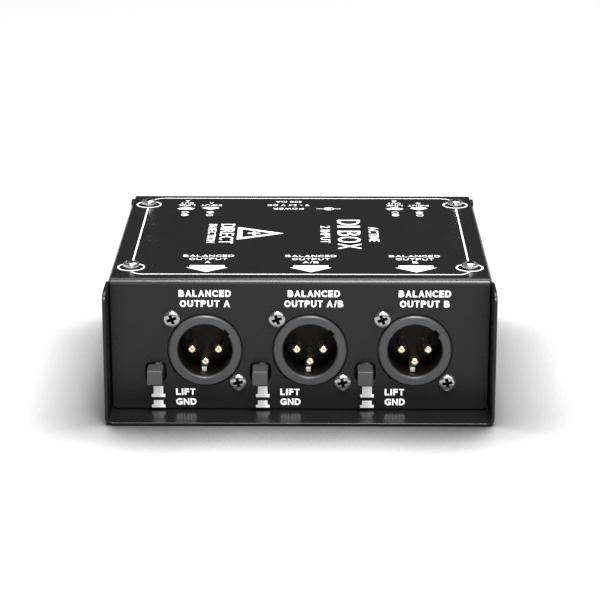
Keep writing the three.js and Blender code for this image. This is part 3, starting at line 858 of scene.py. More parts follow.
@dataclass
class OutputConnector:
    """One male 3-pin output: ring, barrel, a painted-shade liner, insert, pins, ground contact and
    screws.
    """

    channel: str
    ring: float = 11.0 * MM
    mouth: float = 8.2 * MM
    proud: float = 1.0 * MM
    depth: float = 14.5 * MM
    behind: float = 1.3 * MM
    barrel: float = 11.7 * MM
    barrel_end: float = 21.3 * MM
    outer_chamfer: float = 0.42 * MM
    inner_chamfer: float = 0.48 * MM
    liner: float = 0.25 * MM
    liner_start: float = 1.0 * MM
    insert: float = 7.2 * MM
    insert_height: float = 1.2 * MM
    ear: float = 3.3 * MM
    ear_thickness: float = 2.5 * MM
    pin: float = 1.2 * MM
    notch: tuple[float, float, float] = (9.1 * MM, 2.2 * MM, 9.0 * MM)
    notch_angle: float = math.radians(42)
    screw: PanScrew = field(
        default_factory=lambda: PanScrew(5.1 * MM, 1.5 * MM, 2.6 * MM, 4.2 * MM, DARK_NICKEL)
    )
    screw_turns: tuple[float, float] = (0.35, 0.2)

    def node(self, part: str) -> str:
        """The name of one of this output's frame nodes."""
        return f"output_{self.channel}_{part}"

    @property
    def place(self) -> Matrix:
        """The turn to the output's axis, with local Z = 0 at the front panel's outer face."""
        centre = middle(self.node("housing"))
        return Matrix.Translation((centre.x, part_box("top_cover")[0].y, centre.z)) @ FORWARD

    def build(self) -> list[Object]:
        """Makes all the output's pieces."""
        pieces = [self.housing(), self.cup_shade_liner(), self.disc(), self.ground_contact()]
        pieces += [self.contact_pin(number) for number in (1, 2, 3)]
        turns = zip(("upper", "lower"), self.screw_turns)
        return pieces + [self.fixing(which, turn) for which, turn in turns]

    def housing(self) -> Object:
        """The grey ring, its barrel behind the panel and its two fixing ears."""
        floor = self.proud - self.depth - 0.5 * MM
        profile = [
            (0.0, floor),
            (self.mouth, floor),
            (self.mouth, self.proud - self.inner_chamfer),
            (self.mouth + self.inner_chamfer * 0.7, self.proud),
            (self.ring - self.outer_chamfer, self.proud),
            (self.ring, self.proud - self.outer_chamfer),
            (self.ring, -self.behind),
            (self.barrel, -self.behind),
            (self.barrel, -self.barrel_end),
            (0.0, -self.barrel_end),
        ]
        ring = round_edges(lathe(profile, 96), 0.12 * MM, 3)
        piece = as_object(ring, self.node("ring_and_barrel"))
        ears, holes = [], []
        for which in ("upper", "lower"):
            local = self.place.inverted() @ middle(self.node(f"screw_{which}"))
            reach = math.hypot(local.x, local.y)
            root, tip = (self.mouth + self.barrel) / 2, reach + self.ear
            corner = self.ear * 0.98
            arm = [
                (root, -self.ear), (tip, -self.ear, corner),
                (tip, self.ear, corner), (root, self.ear),
            ]
            turn = Matrix.Rotation(math.atan2(local.y, local.x), 4, "Z")
            ear = shifted(slab(arm, self.ear_thickness), z=-self.behind - self.ear_thickness)
            ears.append(moved(ear, turn))
            holes.append(shifted(rod(self.screw.shank / 2, -6 * MM, 2 * MM), local.x, local.y))
        carve(piece, ears, "UNION")
        carve(piece, holes + [self.notch_cutter()])
        piece.data.transform(self.place)
        return dress(piece, RING_GREY, Slot.GREY_PLASTIC, self.node("housing"))

    def notch_cutter(self) -> BMesh:
        """The cutter of the latch notch in the mouth's wall."""
        reach, width, deep = self.notch
        root = self.mouth - 1 * MM
        centre = ((reach + root) / 2, 0, self.proud + 1 * MM - deep / 2)
        cutter = block((reach - root, width, deep), centre)
        return moved(cutter, Matrix.Rotation(self.notch_angle, 4, "Z"))

    def cup_shade_liner(self) -> Object:
        """A black liner inside the ring, with its floor: painted shade, darker than the grey ring,
        laid over the mouth's inside.
        """
        floor = self.proud - self.depth
        start = self.proud - self.liner_start
        outer, inner = self.mouth - 0.02 * MM, self.mouth - self.liner
        profile = [
            (0.0, floor),
            (inner, floor),
            (inner, start - 0.3 * MM),
            (outer, start),
            (outer, floor - 0.45 * MM),
            (0.0, floor - 0.45 * MM),
        ]
        piece = as_object(lathe(profile, 96), self.node("cup_shade_liner"))
        carve(piece, [self.notch_cutter()])
        piece.data.transform(self.place)
        return dress(piece, INSERT_BLACK_AND_CUP_SHADE, Slot.BLACK_PLASTIC)

    def disc(self) -> Object:
        """The insert that holds the pins, standing on the cup's floor."""
        floor = self.proud - self.depth
        top = floor + self.insert_height
        profile = [(0.0, floor), (self.insert, floor), (self.insert, top), (0.0, top)]
        bm = round_edges(lathe(profile, 96), 0.25 * MM, 3)
        piece = as_object(bm, self.node("insert"))
        piece.data.transform(self.place)
        return dress(piece, INSERT_BLACK_AND_CUP_SHADE, Slot.BLACK_PLASTIC)

    def contact_pin(self, number: int) -> Object:
        """One gold pin with a domed tip and a solder tail."""
        node = self.node(f"pin_{number}")
        low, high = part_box(node)
        length = high.y - low.y
        dome, flat = 0.5 * MM, 0.45
        profile = [(0.0, -0.15 * MM), (0.22 * MM, -0.12 * MM), (0.3 * MM, 0.0)]
        for step in range(7):
            turn = step / 6 * QUARTER
            reach = self.pin * (flat + (1 - flat) * math.sin(turn))
            profile.append((reach, -dome * (1 - math.cos(turn))))
        tail = self.pin * 0.6
        profile += [
            (self.pin, 4 * MM - length), (tail, 4 * MM - length), (tail, -length), (0.0, -length),
        ]
        centre = middle(node)
        piece = as_object(lathe(profile, 32), f"{node}_gold")
        piece.data.transform(Matrix.Translation((centre.x, low.y, centre.z)) @ FORWARD)
        return dress(piece, GOLD, Slot.GOLD, node)

    def ground_contact(self) -> Object:
        """The flat tab below the pins that meets the plug's shell."""
        node = self.node("ground_contact")
        low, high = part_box(node)
        bm = round_edges(block(tuple(high - low), tuple((low + high) / 2)), 0.22 * MM, 3)
        piece = as_object(bm, f"{node}_tab")
        return dress(piece, TINNED, Slot.SILVER, node)

    def fixing(self, which: str, turn: float) -> Object:
        """One of the two dark screws."""
        node = self.node(f"screw_{which}")
        centre = middle(node)
        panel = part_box("top_cover")[0].y
        piece = self.screw.mesh(f"{node}_dark")
        place = Matrix.Translation((centre.x, panel, centre.z)) @ FORWARD
        place = place @ Matrix.Rotation(turn, 4, "Z")
        piece.data.transform(place)
        return dress(soften(piece, 0.07 * MM), DARK_NICKEL, Slot.DARK_NICKEL, node)


# ---------------------------------------------------------------- ground-lift switches


@dataclass
class LiftSwitch:
    """One ground-lift switch: the button, its return spring and the switch body behind it."""

    channel: str
    cap: tuple[float, float] = (4.6 * MM, 4.4 * MM)
    corner: float = 0.35 * MM
    edge: float = 0.22 * MM
    cap_length: float = 7.3 * MM
    plunger: float = 1.2 * MM
    wire: float = 0.2 * MM
    coil: float = 1.75 * MM
    turns: int = 5
    bore: float = 1.5 * MM
    leg: tuple[float, float, float] = (0.5 * MM, 0.25 * MM, 3.0 * MM)

    def node(self, part: str) -> str:
        """The name of one of this switch's frame nodes."""
        return f"lift_{self.channel}_{part}"

    def build(self) -> list[Object]:
        """Makes the switch's pieces."""
        return [self.button(), self.spring(), *self.switch_body()]

    def button(self) -> Object:
        """The square cap and its round plunger, which move together."""
        node = self.node("button")
        low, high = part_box(node)
        centre = middle(node)
        cap = rounded_rectangle(*self.cap, self.corner, self.cap_length)
        round_edges(cap, self.edge, 3)
        piece = as_object(shifted(cap, z=-self.cap_length), f"{node}_cap")
        length = high.y - low.y
        stem = lathe([
            (0.0, -2 * MM),
            (self.plunger, -2 * MM),
            (self.plunger, 0.4 * MM - length),
            (self.plunger - 0.3 * MM, -length),
            (0.0, -length),
        ], 32)
        carve(piece, [stem], "UNION")
        piece.data.transform(Matrix.Translation((centre.x, low.y, centre.z)) @ FORWARD)
        return dress(piece, CAP_GREY, Slot.BUTTON_PLASTIC, node, body=node)

    def spring(self) -> Object:
        """The coil spring round the plunger."""
        node = self.node("spring")
        low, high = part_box(node)
        centre = middle(self.node("button"))
        length = high.y - low.y - 2 * self.wire
        steps = self.turns * 24
        bm = bmesh.new()
        bmesh.ops.create_circle(bm, cap_ends=False, segments=8, radius=self.wire)
        bmesh.ops.rotate(bm, cent=ORIGIN, matrix=Matrix.Rotation(QUARTER, 3, "X"), verts=bm.verts)
        shifted(bm, x=self.coil)
        bmesh.ops.spin(
            bm, geom=bm.verts[:] + bm.edges[:], cent=ORIGIN, axis=UP, dvec=(0, 0, -length / steps),
            angle=self.turns * TURN, steps=steps, use_merge=False,
        )
        bmesh.ops.holes_fill(bm, edges=[edge for edge in bm.edges if edge.is_boundary], sides=8)
        moved(bm, Matrix.Translation((centre.x, low.y + self.wire, centre.z)) @ FORWARD)
        piece = dress(as_object(bm, f"{node}_wire"), SILVER, Slot.SILVER, node)
        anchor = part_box(self.node("switch_body"))[0].y
        travel = next(j["range_m"][1] for j in FRAME["joints"] if j["name"] == self.node("travel"))
        self.node("travel")
        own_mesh(piece)
        return piece

    def switch_body(self) -> list[Object]:
        """The moulded body with its bore and steel front plate, and its legs in the board."""
        node = self.node("switch_body")
        low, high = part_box(node)
        centre, axis = (low + high) / 2, middle(self.node("button"))
        housing = round_edges(block(tuple(high - low), tuple(centre)), 0.3 * MM, 2)
        body = as_object(housing, f"{node}_moulding")
        along = Matrix.Translation((axis.x, centre.y, axis.z)) @ FORWARD
        hole = moved(rod(self.bore, -20 * MM, 20 * MM), along)
        carve(body, [hole])
        legs = []
        for side in (-1, 1):
            for row in (0.2, 0.5, 0.8):
                place = (
                    centre.x + side * 1.8 * MM,
                    low.y + row * (high.y - low.y),
                    low.z - self.leg[2] / 2 + 0.2 * MM,
                )
                legs.append(block(self.leg, place))
        pins = as_object(round_edges(joined(legs), 0.05 * MM, 1), f"{node}_legs")
        return [
            dress(body, MOULDED_BLACK, Slot.BLACK_PLASTIC, node),
            dress(pins, SILVER, Slot.SILVER),
        ]


# ---------------------------------------------------------------- rear sockets


@dataclass
class StackedJacks:
    """A stacked pair of phone jacks: moulding with threaded noses, nuts, washers and contacts."""

    side: str
    nose: float = 4.75 * MM
    root: float = 4.4 * MM
    bore: float = 3.25 * MM
    bore_depth: float = 29.0 * MM
    pitch: float = 0.75 * MM
    flats: float = 14.0 * MM
    nut_thickness: float = 2.2 * MM
    washer: tuple[float, float] = (7.4 * MM, 0.28 * MM)
    leg: tuple[float, float, float] = (1.0 * MM, 0.3 * MM, 4.0 * MM)

    def build(self) -> list[Object]:
        """Makes the pair."""
        pieces = [self.housing(), self.legs()]
        for role in ("input", "link"):
            pieces += [self.nut(role), self.lock_washer(role), self.contact(role)]
        return pieces

    def axis(self, role: str) -> Matrix:
        """The turn to one jack's axis, with local Z = 0 at the rear panel's outer face."""
        centre = middle(f"{role}_{self.side}_nut")
        return Matrix.Translation((centre.x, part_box("top_cover")[1].y, centre.z)) @ BACKWARD

    def housing(self) -> Object:
        """The moulding with both noses, bored through."""
        node = f"jacks_{self.side}_housing"
        low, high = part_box(node)
        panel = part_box("top_cover")[1].y
        face = panel - 1.3 * MM
        size = Vector((high.x - low.x, face - low.y, high.z - low.z))
        centre = Vector(((low.x + high.x) / 2, (face + low.y) / 2, (low.z + high.z) / 2))
        housing = round_edges(block(tuple(size), tuple(centre)), 0.5 * MM, 3)
        piece = as_object(housing, f"{node}_moulding")
        proud = high.y - panel
        bores, noses = [], []
        for role in ("input", "link"):
            profile = [
                (0.0, proud),
                (self.nose - 0.5 * MM, proud),
                (self.nose - 0.1 * MM, proud - 0.4 * MM),
            ]
            profile += thread(self.nose, self.root, proud - 0.5 * MM, -2.0 * MM, self.pitch)
            profile += [(self.root, -2.4 * MM), (0.0, -2.4 * MM)]
            noses.append(moved(lathe(profile, 48), self.axis(role)))
            countersink = 0.45 * MM
            hole = [
                (0.0, proud + 1 * MM),
                (self.bore + countersink + 1 * MM, proud + 1 * MM),
                (self.bore, proud - countersink),
                (self.bore, proud - self.bore_depth),
                (0.0, proud - self.bore_depth),
            ]
            bores.append(moved(lathe(hole, 48), self.axis(role)))
        carve(piece, noses, "UNION")
        carve(piece, bores)
        return dress(piece, MOULDED_BLACK, Slot.BLACK_PLASTIC, node)

    def legs(self) -> Object:
        """The solder legs under the moulding."""
        low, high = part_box(f"jacks_{self.side}_housing")
        legs = []
        for side in (-1, 1):
            for row in (0.15, 0.4, 0.65):
                x = (low.x + high.x) / 2 + side * 5.5 * MM
                y = low.y + row * (high.y - low.y)
                legs.append(block(self.leg, (x, y, low.z - self.leg[2] / 2 + 0.5 * MM)))
        piece = as_object(round_edges(joined(legs), 0.06 * MM, 1), f"jacks_{self.side}_legs")
        return dress(piece, SILVER, Slot.SILVER)

    def nut(self, role: str) -> Object:
        """One chamfered hexagon nut."""
        node = f"{role}_{self.side}_nut"
        start = 0.3 * MM
        corner = self.flats / 2 / math.cos(math.pi / 6)
        hexagon = shifted(rod(corner, 0.0, self.nut_thickness, 6), z=start)
        moved(hexagon, Matrix.Rotation(math.pi / 6, 4, "Z"))
        piece = as_object(hexagon, f"{node}_hexagon")
        half = self.flats / 2
        chamfer = [
            (0.0, start - 1 * MM),
            (half + 4 * MM, start - 1 * MM),
            (half + 4 * MM, start + self.nut_thickness - 2.1 * MM),
            (half - 0.2 * MM, start + self.nut_thickness),
            (0.0, start + self.nut_thickness),
        ]
        carve(piece, [lathe(chamfer, 64)], "INTERSECT")
        hole = [
            (0.0, start - 1 * MM),
            (self.nose + 0.15 * MM, start - 1 * MM),
            (self.nose + 0.15 * MM, start + self.nut_thickness - 0.4 * MM),
            (self.nose + 0.75 * MM, start + self.nut_thickness + 0.2 * MM),
            (0.0, start + self.nut_thickness + 0.2 * MM),
        ]
        carve(piece, [lathe(hole, 48)])
        piece.data.transform(self.axis(role))
        return dress(soften(piece, 0.1 * MM), SILVER, Slot.SILVER, node)

    def lock_washer(self, role: str) -> Object:
        """The thin washer under a nut."""
        radius, thickness = self.washer
        hole = self.nose + 0.2 * MM
        profile = [(hole, 0.0), (radius, 0.0), (radius, thickness), (hole, thickness)]
        bm = round_edges(lathe(profile, 64, closed=True), 0.06 * MM, 1)
        piece = as_object(moved(bm, self.axis(role)), f"{role}_{self.side}_washer")
        return dress(piece, SILVER, Slot.SILVER)

    def contact(self, role: str) -> Object:
        """The bent leaf that touches a plug's tip."""
        node = f"{role}_{self.side}_tip_contact"
        low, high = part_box(node)
        rise, run = 1.2 * MM, high.y - low.y
        thickness = 0.4 * MM
        corners = [
            (0, 0),
            (run * 0.6, rise),
            (run, rise * 0.4),
            (run, rise * 0.4 + thickness),
            (run * 0.6, rise + thickness, 0.3 * MM),
            (0, thickness),
        ]
        leaf = slab(corners, high.x - low.x)
        turn = Matrix(((0, 0, 1), (1, 0, 0), (0, 1, 0))).to_4x4()
        piece = as_object(moved(leaf, Matrix.Translation(low) @ turn), f"{node}_leaf")
        return dress(soften(piece, 0.06 * MM), SILVER, Slot.SILVER, node)


@dataclass
class PowerInlet:
    """The direct-current inlet: moulding, centre pin and side leaf."""

    nose: float = 3.95 * MM
    socket: float = 3.2 * MM
    socket_depth: float = 11.0 * MM
    pin: float = 1.0 * MM
    step: float = 1.3 * MM

    def build(self) -> list[Object]:
        """Makes the inlet."""
        return [self.body(), self.centre_pin(), self.leaf()]

    @property
    def axis(self) -> Matrix:
        """The turn to the inlet's axis, with local Z = 0 at the rear panel's outer face."""
        centre = middle("power_inlet_pin")
        return Matrix.Translation((centre.x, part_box("top_cover")[1].y, centre.z)) @ BACKWARD

    def body(self) -> Object:
        """The moulding, with a round nose in the panel's hole and a bored socket."""
        low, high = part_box("power_inlet_body")
        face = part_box("top_cover")[1].y - self.step
        size = Vector((high.x - low.x, face - low.y, high.z - low.z))
        centre = Vector(((low.x + high.x) / 2, (face + low.y) / 2, (low.z + high.z) / 2))
        housing = round_edges(block(tuple(size), tuple(centre)), 0.4 * MM, 3)
        piece = as_object(housing, "power_inlet_moulding")
        nose = round_edges(rod(self.nose, -3 * MM, -0.3 * MM, 48), 0.25 * MM, 3)
        carve(piece, [moved(nose, self.axis)], "UNION")
        socket = [
            (0.0, 1 * MM),
            (self.socket + 1.5 * MM, 1 * MM),
            (self.socket, -0.7 * MM),
            (self.socket, -self.socket_depth),
            (0.0, -self.socket_depth),
        ]
        carve(piece, [moved(lathe(socket, 48), self.axis)])
        return dress(piece, MOULDED_BLACK, Slot.BLACK_PLASTIC, "power_inlet_body")

    def centre_pin(self) -> Object:
        """The pin in the socket."""
        low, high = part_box("power_inlet_pin")
        length = high.y - low.y
        profile = [
            (0.0, 0.0), (self.pin * 0.5, -0.1 * MM), (self.pin, -0.8 * MM),
            (self.pin, -length), (0.0, -length),
        ]
        centre = middle("power_inlet_pin")
        bm = moved(lathe(profile, 24), Matrix.Translation((centre.x, high.y, centre.z)) @ BACKWARD)
        piece = as_object(bm, "power_inlet_centre_pin")
        return dress(piece, SILVER, Slot.SILVER, "power_inlet_pin")

    def leaf(self) -> Object:
        """The side contact."""
        low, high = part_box("power_inlet_leaf")
        bm = round_edges(block(tuple(high - low), tuple((low + high) / 2)), 0.1 * MM, 2)
        piece = as_object(bm, "power_inlet_side_leaf")
        return dress(piece, SILVER, Slot.SILVER, "power_inlet_leaf")


# ---------------------------------------------------------------- circuit board


@dataclass
class Circuit:
    """The board and what stands on it."""

    seed: int = 7
    relief: tuple[float, float] = (8.6 * MM, 2.0 * MM)
    chip_legs: int = 4
    chip_leg: tuple[float, float, float] = (0.45 * MM, 1.1 * MM, 2.6 * MM)
    coil_turns: int = 26
    resistor: tuple[float, float] = (0.95 * MM, 5.2 * MM)
    resistor_rows: tuple[tuple[float, float], ...] = (
        (-44, 28), (-38, 28), (-18, 30), (-18, 36), (8, 30),
        (8, 36), (34, 30), (44, 28), (-30, 56), (30, 56),
    )

    def build(self) -> list[Object]:
        """Makes the board and its components."""
        pieces = [self.board()]
        for name in ("a", "b", "sum"):
            pieces += self.chip(f"amplifier_chip_{name}")
        for number in range(1, 5):
            pieces += self.capacitor(f"capacitor_{number}")
        return pieces + self.regulator() + self.coil() + self.resistors()

    @property
    def surface(self) -> float:
        """The height of the board's upper face."""
        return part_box("main_board")[1].z

    def board(self) -> Object:
        """The green board, notched round the outputs' ears."""
        low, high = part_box("main_board")
        size, centre = high - low, (low + high) / 2
        sheet = rounded_rectangle(size.x, size.y, 1 * MM, size.z)
        piece = as_object(shifted(sheet, centre.x, centre.y, low.z), "main_board_laminate")
        width, deep = self.relief
        notches = []
        for channel in CHANNELS:
            screw = middle(f"output_{channel}_screw_lower")
            notches.append(block((width, 2 * deep, 10 * MM), (screw.x, low.y, centre.z)))
        carve(piece, notches)
        return dress(soften(piece, 0.1 * MM), SOLDER_MASK, Slot.BOARD_GREEN, "main_board")

    def chip(self, node: str) -> list[Object]:
        """An eight-legged amplifier chip with a notch at its first leg's end."""
        low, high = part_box(node)
        size, centre = high - low, (low + high) / 2
        raised = 0.6 * MM
        body = block((size.x, size.y, size.z - raised), (centre.x, centre.y, centre.z + raised / 2))
        piece = as_object(round_edges(body, 0.25 * MM, 2), f"{node}_package")
        dimple = rod(0.8 * MM, high.z - 0.3 * MM, high.z + 1 * MM, 24)
        carve(piece, [shifted(dimple, low.x, centre.y)])
        legs = []
        for side in (-1, 1):
            for leg in range(self.chip_legs):
                x = low.x + size.x * (leg + 0.5) / self.chip_legs
                y = centre.y + side * (size.y / 2 + 0.2 * MM)
                z = self.surface + self.chip_leg[2] / 2 - 0.6 * MM
                legs.append(block(self.chip_leg, (x, y, z)))
        pins = as_object(round_edges(joined(legs), 0.06 * MM, 1), f"{node}_legs")
        return [
            dress(piece, MOULDED_BLACK, Slot.BLACK_PLASTIC, node),
            dress(pins, SILVER, Slot.SILVER),
        ]

    def capacitor(self, node: str) -> list[Object]:
        """An electrolytic capacitor: sleeve with a rolled groove, scored can top and legs."""
        low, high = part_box(node)
        centre = (low + high) / 2
        radius, height = (high.x - low.x) / 2, high.z - low.z
        foot = self.surface
        rise = low.z - foot
        groove = 0.35 * MM
        profile = [
            (0.0, rise),
            (radius - 0.2 * MM, rise),
            (radius, rise + 0.3 * MM),
            (radius, 1.3 * MM),
            (radius - groove, 1.8 * MM),
            (radius, 2.3 * MM),
            (radius, height - 0.3 * MM),
            (radius - 0.5 * MM, rise + height - 0.1 * MM),
            (radius - 0.9 * MM, rise + height - 0.1 * MM),
            (radius - 0.9 * MM, height - 0.3 * MM),
            (0.0, height - 0.3 * MM),
        ]
        film = shifted(lathe(profile, 48), centre.x, centre.y, foot)
        sleeve = as_object(film, f"{node}_sleeve_film")
        can = round_edges(rod(radius - 0.95 * MM, height - 0.4 * MM, height, 40), 0.12 * MM, 2)
        top = as_object(shifted(can, centre.x, centre.y, foot), f"{node}_can_top")
        scores = [
            shifted(block(score, (0, 0, height)), centre.x, centre.y, foot)
            for score in ((4 * radius, 0.25 * MM, 0.2 * MM), (0.25 * MM, 4 * radius, 0.2 * MM))
        ]
        carve(top, scores)
        stripe = band(radius, radius + 0.03 * MM, -0.35, 0.7, height - 3 * MM)
        stripe = shifted(stripe, centre.x, centre.y, foot + 2.5 * MM)
        mark = as_object(stripe, f"{node}_polarity_stripe")
        return [
            dress(sleeve, SLEEVE, Slot.CAPACITOR_SLEEVE, node),
            dress(top, SILVER, Slot.SILVER),
            dress(mark, INK, Slot.PRINT_WHITE),
        ]

    def regulator(self) -> list[Object]:
        """The voltage regulator: moulding, metal tab with a hole, and three legs."""
        node = "voltage_regulator"
        low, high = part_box(node)
        size, centre = high - low, (low + high) / 2
        tab_thickness, tab_height = 1.2 * MM, 6.0 * MM
        top = high.z - tab_height
        body = block((size.x, size.y, top - low.z), (centre.x, centre.y, (top + low.z) / 2))
        piece = as_object(round_edges(body, 0.25 * MM, 2), f"{node}_moulding")
        plate = block(
            (size.x, tab_thickness, tab_height + 1 * MM),
            (centre.x, low.y + tab_thickness / 2, top + tab_height / 2 - 0.5 * MM),
        )
        tab = as_object(round_edges(plate, 0.2 * MM, 2), f"{node}_tab")
        hole = rod(1.8 * MM, -5 * MM, 5 * MM)
        through = Matrix.Translation((centre.x, low.y, top + tab_height * 0.55)) @ FORWARD
        carve(tab, [moved(hole, through)])
        legs = [
            block(
                (0.8 * MM, 0.5 * MM, 3 * MM),
                (centre.x + step * 2.5 * MM, centre.y, low.z - 0.9 * MM),
            )
            for step in (-1, 0, 1)
        ]
        pins = as_object(round_edges(joined(legs), 0.06 * MM, 1), f"{node}_legs")
        return [
            dress(piece, MOULDED_BLACK, Slot.BLACK_PLASTIC, node),
            dress(tab, SILVER, Slot.SILVER),
            dress(pins, SILVER, Slot.SILVER),
        ]

    def coil(self) -> list[Object]:
        """The filter coil: a ring core with turns of enamelled wire."""
        node = "filter_coil"
        low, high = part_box(node)
        centre = (low + high) / 2
        outer, inner = (high.x - low.x) / 2, 3.0 * MM
        wire = 0.3 * MM
        core_profile = [
            (inner + wire, low.z + wire),
            (outer - wire, low.z + wire),
            (outer - wire, high.z - wire),
            (inner + wire, high.z - wire),
        ]
        core = as_object(
            shifted(
                round_edges(lathe(core_profile, 48, closed=True), 0.4 * MM, 2), centre.x, centre.y
            ),
            f"{node}_core",
        )
        turns = []
        half_width, half_height = (outer - inner) / 2, (high.z - low.z) / 2
        for turn in range(self.coil_turns):
            loop = bmesh.new()
            bmesh.ops.create_circle(loop, cap_ends=False, segments=6, radius=wire)
            shifted(loop, x=half_width)
            bmesh.ops.spin(
                loop, geom=loop.verts[:] + loop.edges[:], cent=ORIGIN, axis=(0, 1, 0), dvec=ORIGIN,
                angle=TURN, steps=12, use_merge=True,
            )
            bmesh.ops.remove_doubles(loop, verts=loop.verts, dist=WELD)
            squeeze = (1 - wire / half_width, 1, half_height / half_width - wire / half_height)
            bmesh.ops.scale(loop, vec=squeeze, verts=loop.verts)
            shifted(loop, x=(inner + outer) / 2)
            turns.append(moved(loop, Matrix.Rotation(turn / self.coil_turns * TURN * 0.9, 4, "Z")))
        winding = as_object(shifted(joined(turns), centre.x, centre.y, centre.z), f"{node}_winding")
        return [
            dress(core, MOULDED_BLACK, Slot.BLACK_PLASTIC, node),
            dress(winding, COPPER, Slot.COPPER),
        ]

    def resistors(self) -> list[Object]:
        """Small resistors lying between the larger parts."""
        draw = random.Random(self.seed)
        radius, length = self.resistor
        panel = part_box("top_cover")[0].y
        pieces = []
        for number, (x, y) in enumerate(self.resistor_rows, start=1):
            half = length / 2
            profile = [
                (0.0, -half),
                (radius * 0.8, -half),
                (radius, -half + 0.5 * MM),
                (radius * 0.86, -half + 1.2 * MM),
                (radius * 0.86, half - 1.2 * MM),
                (radius, half - 0.5 * MM),
                (radius * 0.8, half),
                (0.0, half),
            ]
            turn = Matrix.Rotation(QUARTER, 4, "Y") if draw.random() < 0.6 else FORWARD
            centre = (x * MM, panel + y * MM, self.surface + radius + 0.1 * MM)
            place = Matrix.Translation(centre) @ turn
            body = as_object(moved(lathe(profile, 24), place), f"resistor_{number}_body")
            lead = moved(rod(0.28 * MM, -half - 1.6 * MM, half + 1.6 * MM, 10), place)
            legs = as_object(round_edges(lead, 0.05 * MM, 1), f"resistor_{number}_leads")
            pieces.append(dress(body, RESISTOR_BLUE, Slot.CAPACITOR_SLEEVE))
            pieces.append(dress(legs, SILVER, Slot.SILVER))
        return pieces


# ---------------------------------------------------------------- legends


@dataclass
class Lettering:
    """Sets words in wide bold capitals as thin raised ink."""

    ink: float = 0.035 * MM
    weight: float = 0.03
    swell: float = 0.02
    gap: float = 0.13
    space: float = 0.36
    small: float = 0.76
    widths: dict = field(default_factory=lambda: {
        "A": 0.74, "B": 0.68, "C": 0.72, "D": 0.70, "E": 0.60, "F": 0.56, "G": 0.74, "H": 0.68,
        "I": 0.20, "J": 0.50, "K": 0.70, "L": 0.56, "M": 0.82, "N": 0.68, "O": 0.76, "P": 0.64,
        "R": 0.70, "S": 0.64, "T": 0.62, "U": 0.68, "V": 0.70, "W": 0.98, "X": 0.70, "m": 0.86,
        "0": 0.56, "1": 0.32, "2": 0.54, "4": 0.58, "9": 0.56, "/": 0.34, "-": 0.30,
    })
    ready: dict = field(default_factory=dict)

    def glyph(self, letter: str) -> BMesh:
        """A copy of one letter, drawn the first time it is asked for."""
        if letter not in self.ready:
            self.ready[letter] = self.draw(letter)
        return self.ready[letter].copy()

    def draw(self, letter: str) -> BMesh:
        """Draws one letter, its box from 0 to its width along X and from 0 to 1 along Y.

        Args:
            letter: the character.

        Returns:
            The letter's flat faces, in cap heights.
        """
        width, weight = self.widths[letter], self.weight
        if letter == "-":
            bm = bmesh.new()
            bmesh.ops.create_grid(bm, x_segments=1, y_segments=1, size=0.5)
            bmesh.ops.scale(bm, vec=(width, 0.17, 1), verts=bm.verts)
            return shifted(bm, width / 2, 0.42)
        curve = bpy.data.curves.new("letter", "FONT")
        curve.body = letter
        curve.offset = self.swell
        curve.resolution_u = 4
        holder = bpy.data.objects.new("letter", curve)
        bpy.context.scene.collection.objects.link(holder)
        depsgraph = bpy.context.evaluated_depsgraph_get()
        mesh = bpy.data.meshes.new_from_object(holder.evaluated_get(depsgraph))
        bm = bmesh.new()
        bm.from_mesh(mesh)
        bpy.data.meshes.remove(mesh)
        bpy.data.objects.remove(holder)
        bpy.data.curves.remove(curve)
        bmesh.ops.remove_doubles(bm, verts=bm.verts, dist=1e-4)
        low = Vector([min(vert.co[axis] for vert in bm.verts) for axis in range(3)])
        high = Vector([max(vert.co[axis] for vert in bm.verts) for axis in range(3)])
        shifted(bm, -low.x, -low.y)
        height = self.small if letter.islower() else 1.0
        scale = (
            (width - 2 * weight) / (high.x - low.x), (height - 2 * weight) / (high.y - low.y), 1,
        )
        bmesh.ops.scale(bm, vec=scale, verts=bm.verts)
        self.embolden(bm)
        return shifted(bm, weight, weight)

    def embolden(self, bm: BMesh) -> None:
        """Moves a flat letter's outline outwards by the weight."""
        shifts = {}
        for edge in bm.edges:
            if not edge.is_boundary:
                continue
            along = edge.verts[1].co - edge.verts[0].co
            out = Vector((along.y, -along.x, 0)).normalized()
            if out.dot(edge.link_faces[0].calc_center_median() - edge.verts[0].co) > 0:
                out = -out
            for vert in edge.verts:
                shifts.setdefault(vert, []).append(out)
        for vert, outs in shifts.items():
            if len(outs) == 2:
                share = max(0.4, 1 + outs[0].dot(outs[1]))
                vert.co += (outs[0] + outs[1]) * (self.weight / share)

    def line(self, text: str, x0: float, x1: float, y0: float, y1: float) -> BMesh:
        """Words set in one line to fill a box.

        Args:
            text: the words.
            x0: the box's left.
            x1: its right.
            y0: its foot, the letters' baseline.
            y1: its top, the capitals' height.

        Returns:
            The raised line.
        """
        parts = []
        pen = 0.0
        for letter in text:
            if letter == " ":
                pen += self.space
                continue
            parts.append(shifted(self.glyph(letter), pen))
            pen += self.widths[letter] + self.gap
        bm = joined(parts)
        pen -= self.gap
        bmesh.ops.scale(bm, vec=((x1 - x0) / pen, y1 - y0, 1), verts=bm.verts)
        shifted(bm, x0, y0)
        return raise_flat(bm, self.ink)

    def centred(self, text: str, x: float, y: float, width: float, cap: float) -> BMesh:
        """A line with its middle at x and its baseline at y."""
        return self.line(text, x - width / 2, x + width / 2, y, y + cap)


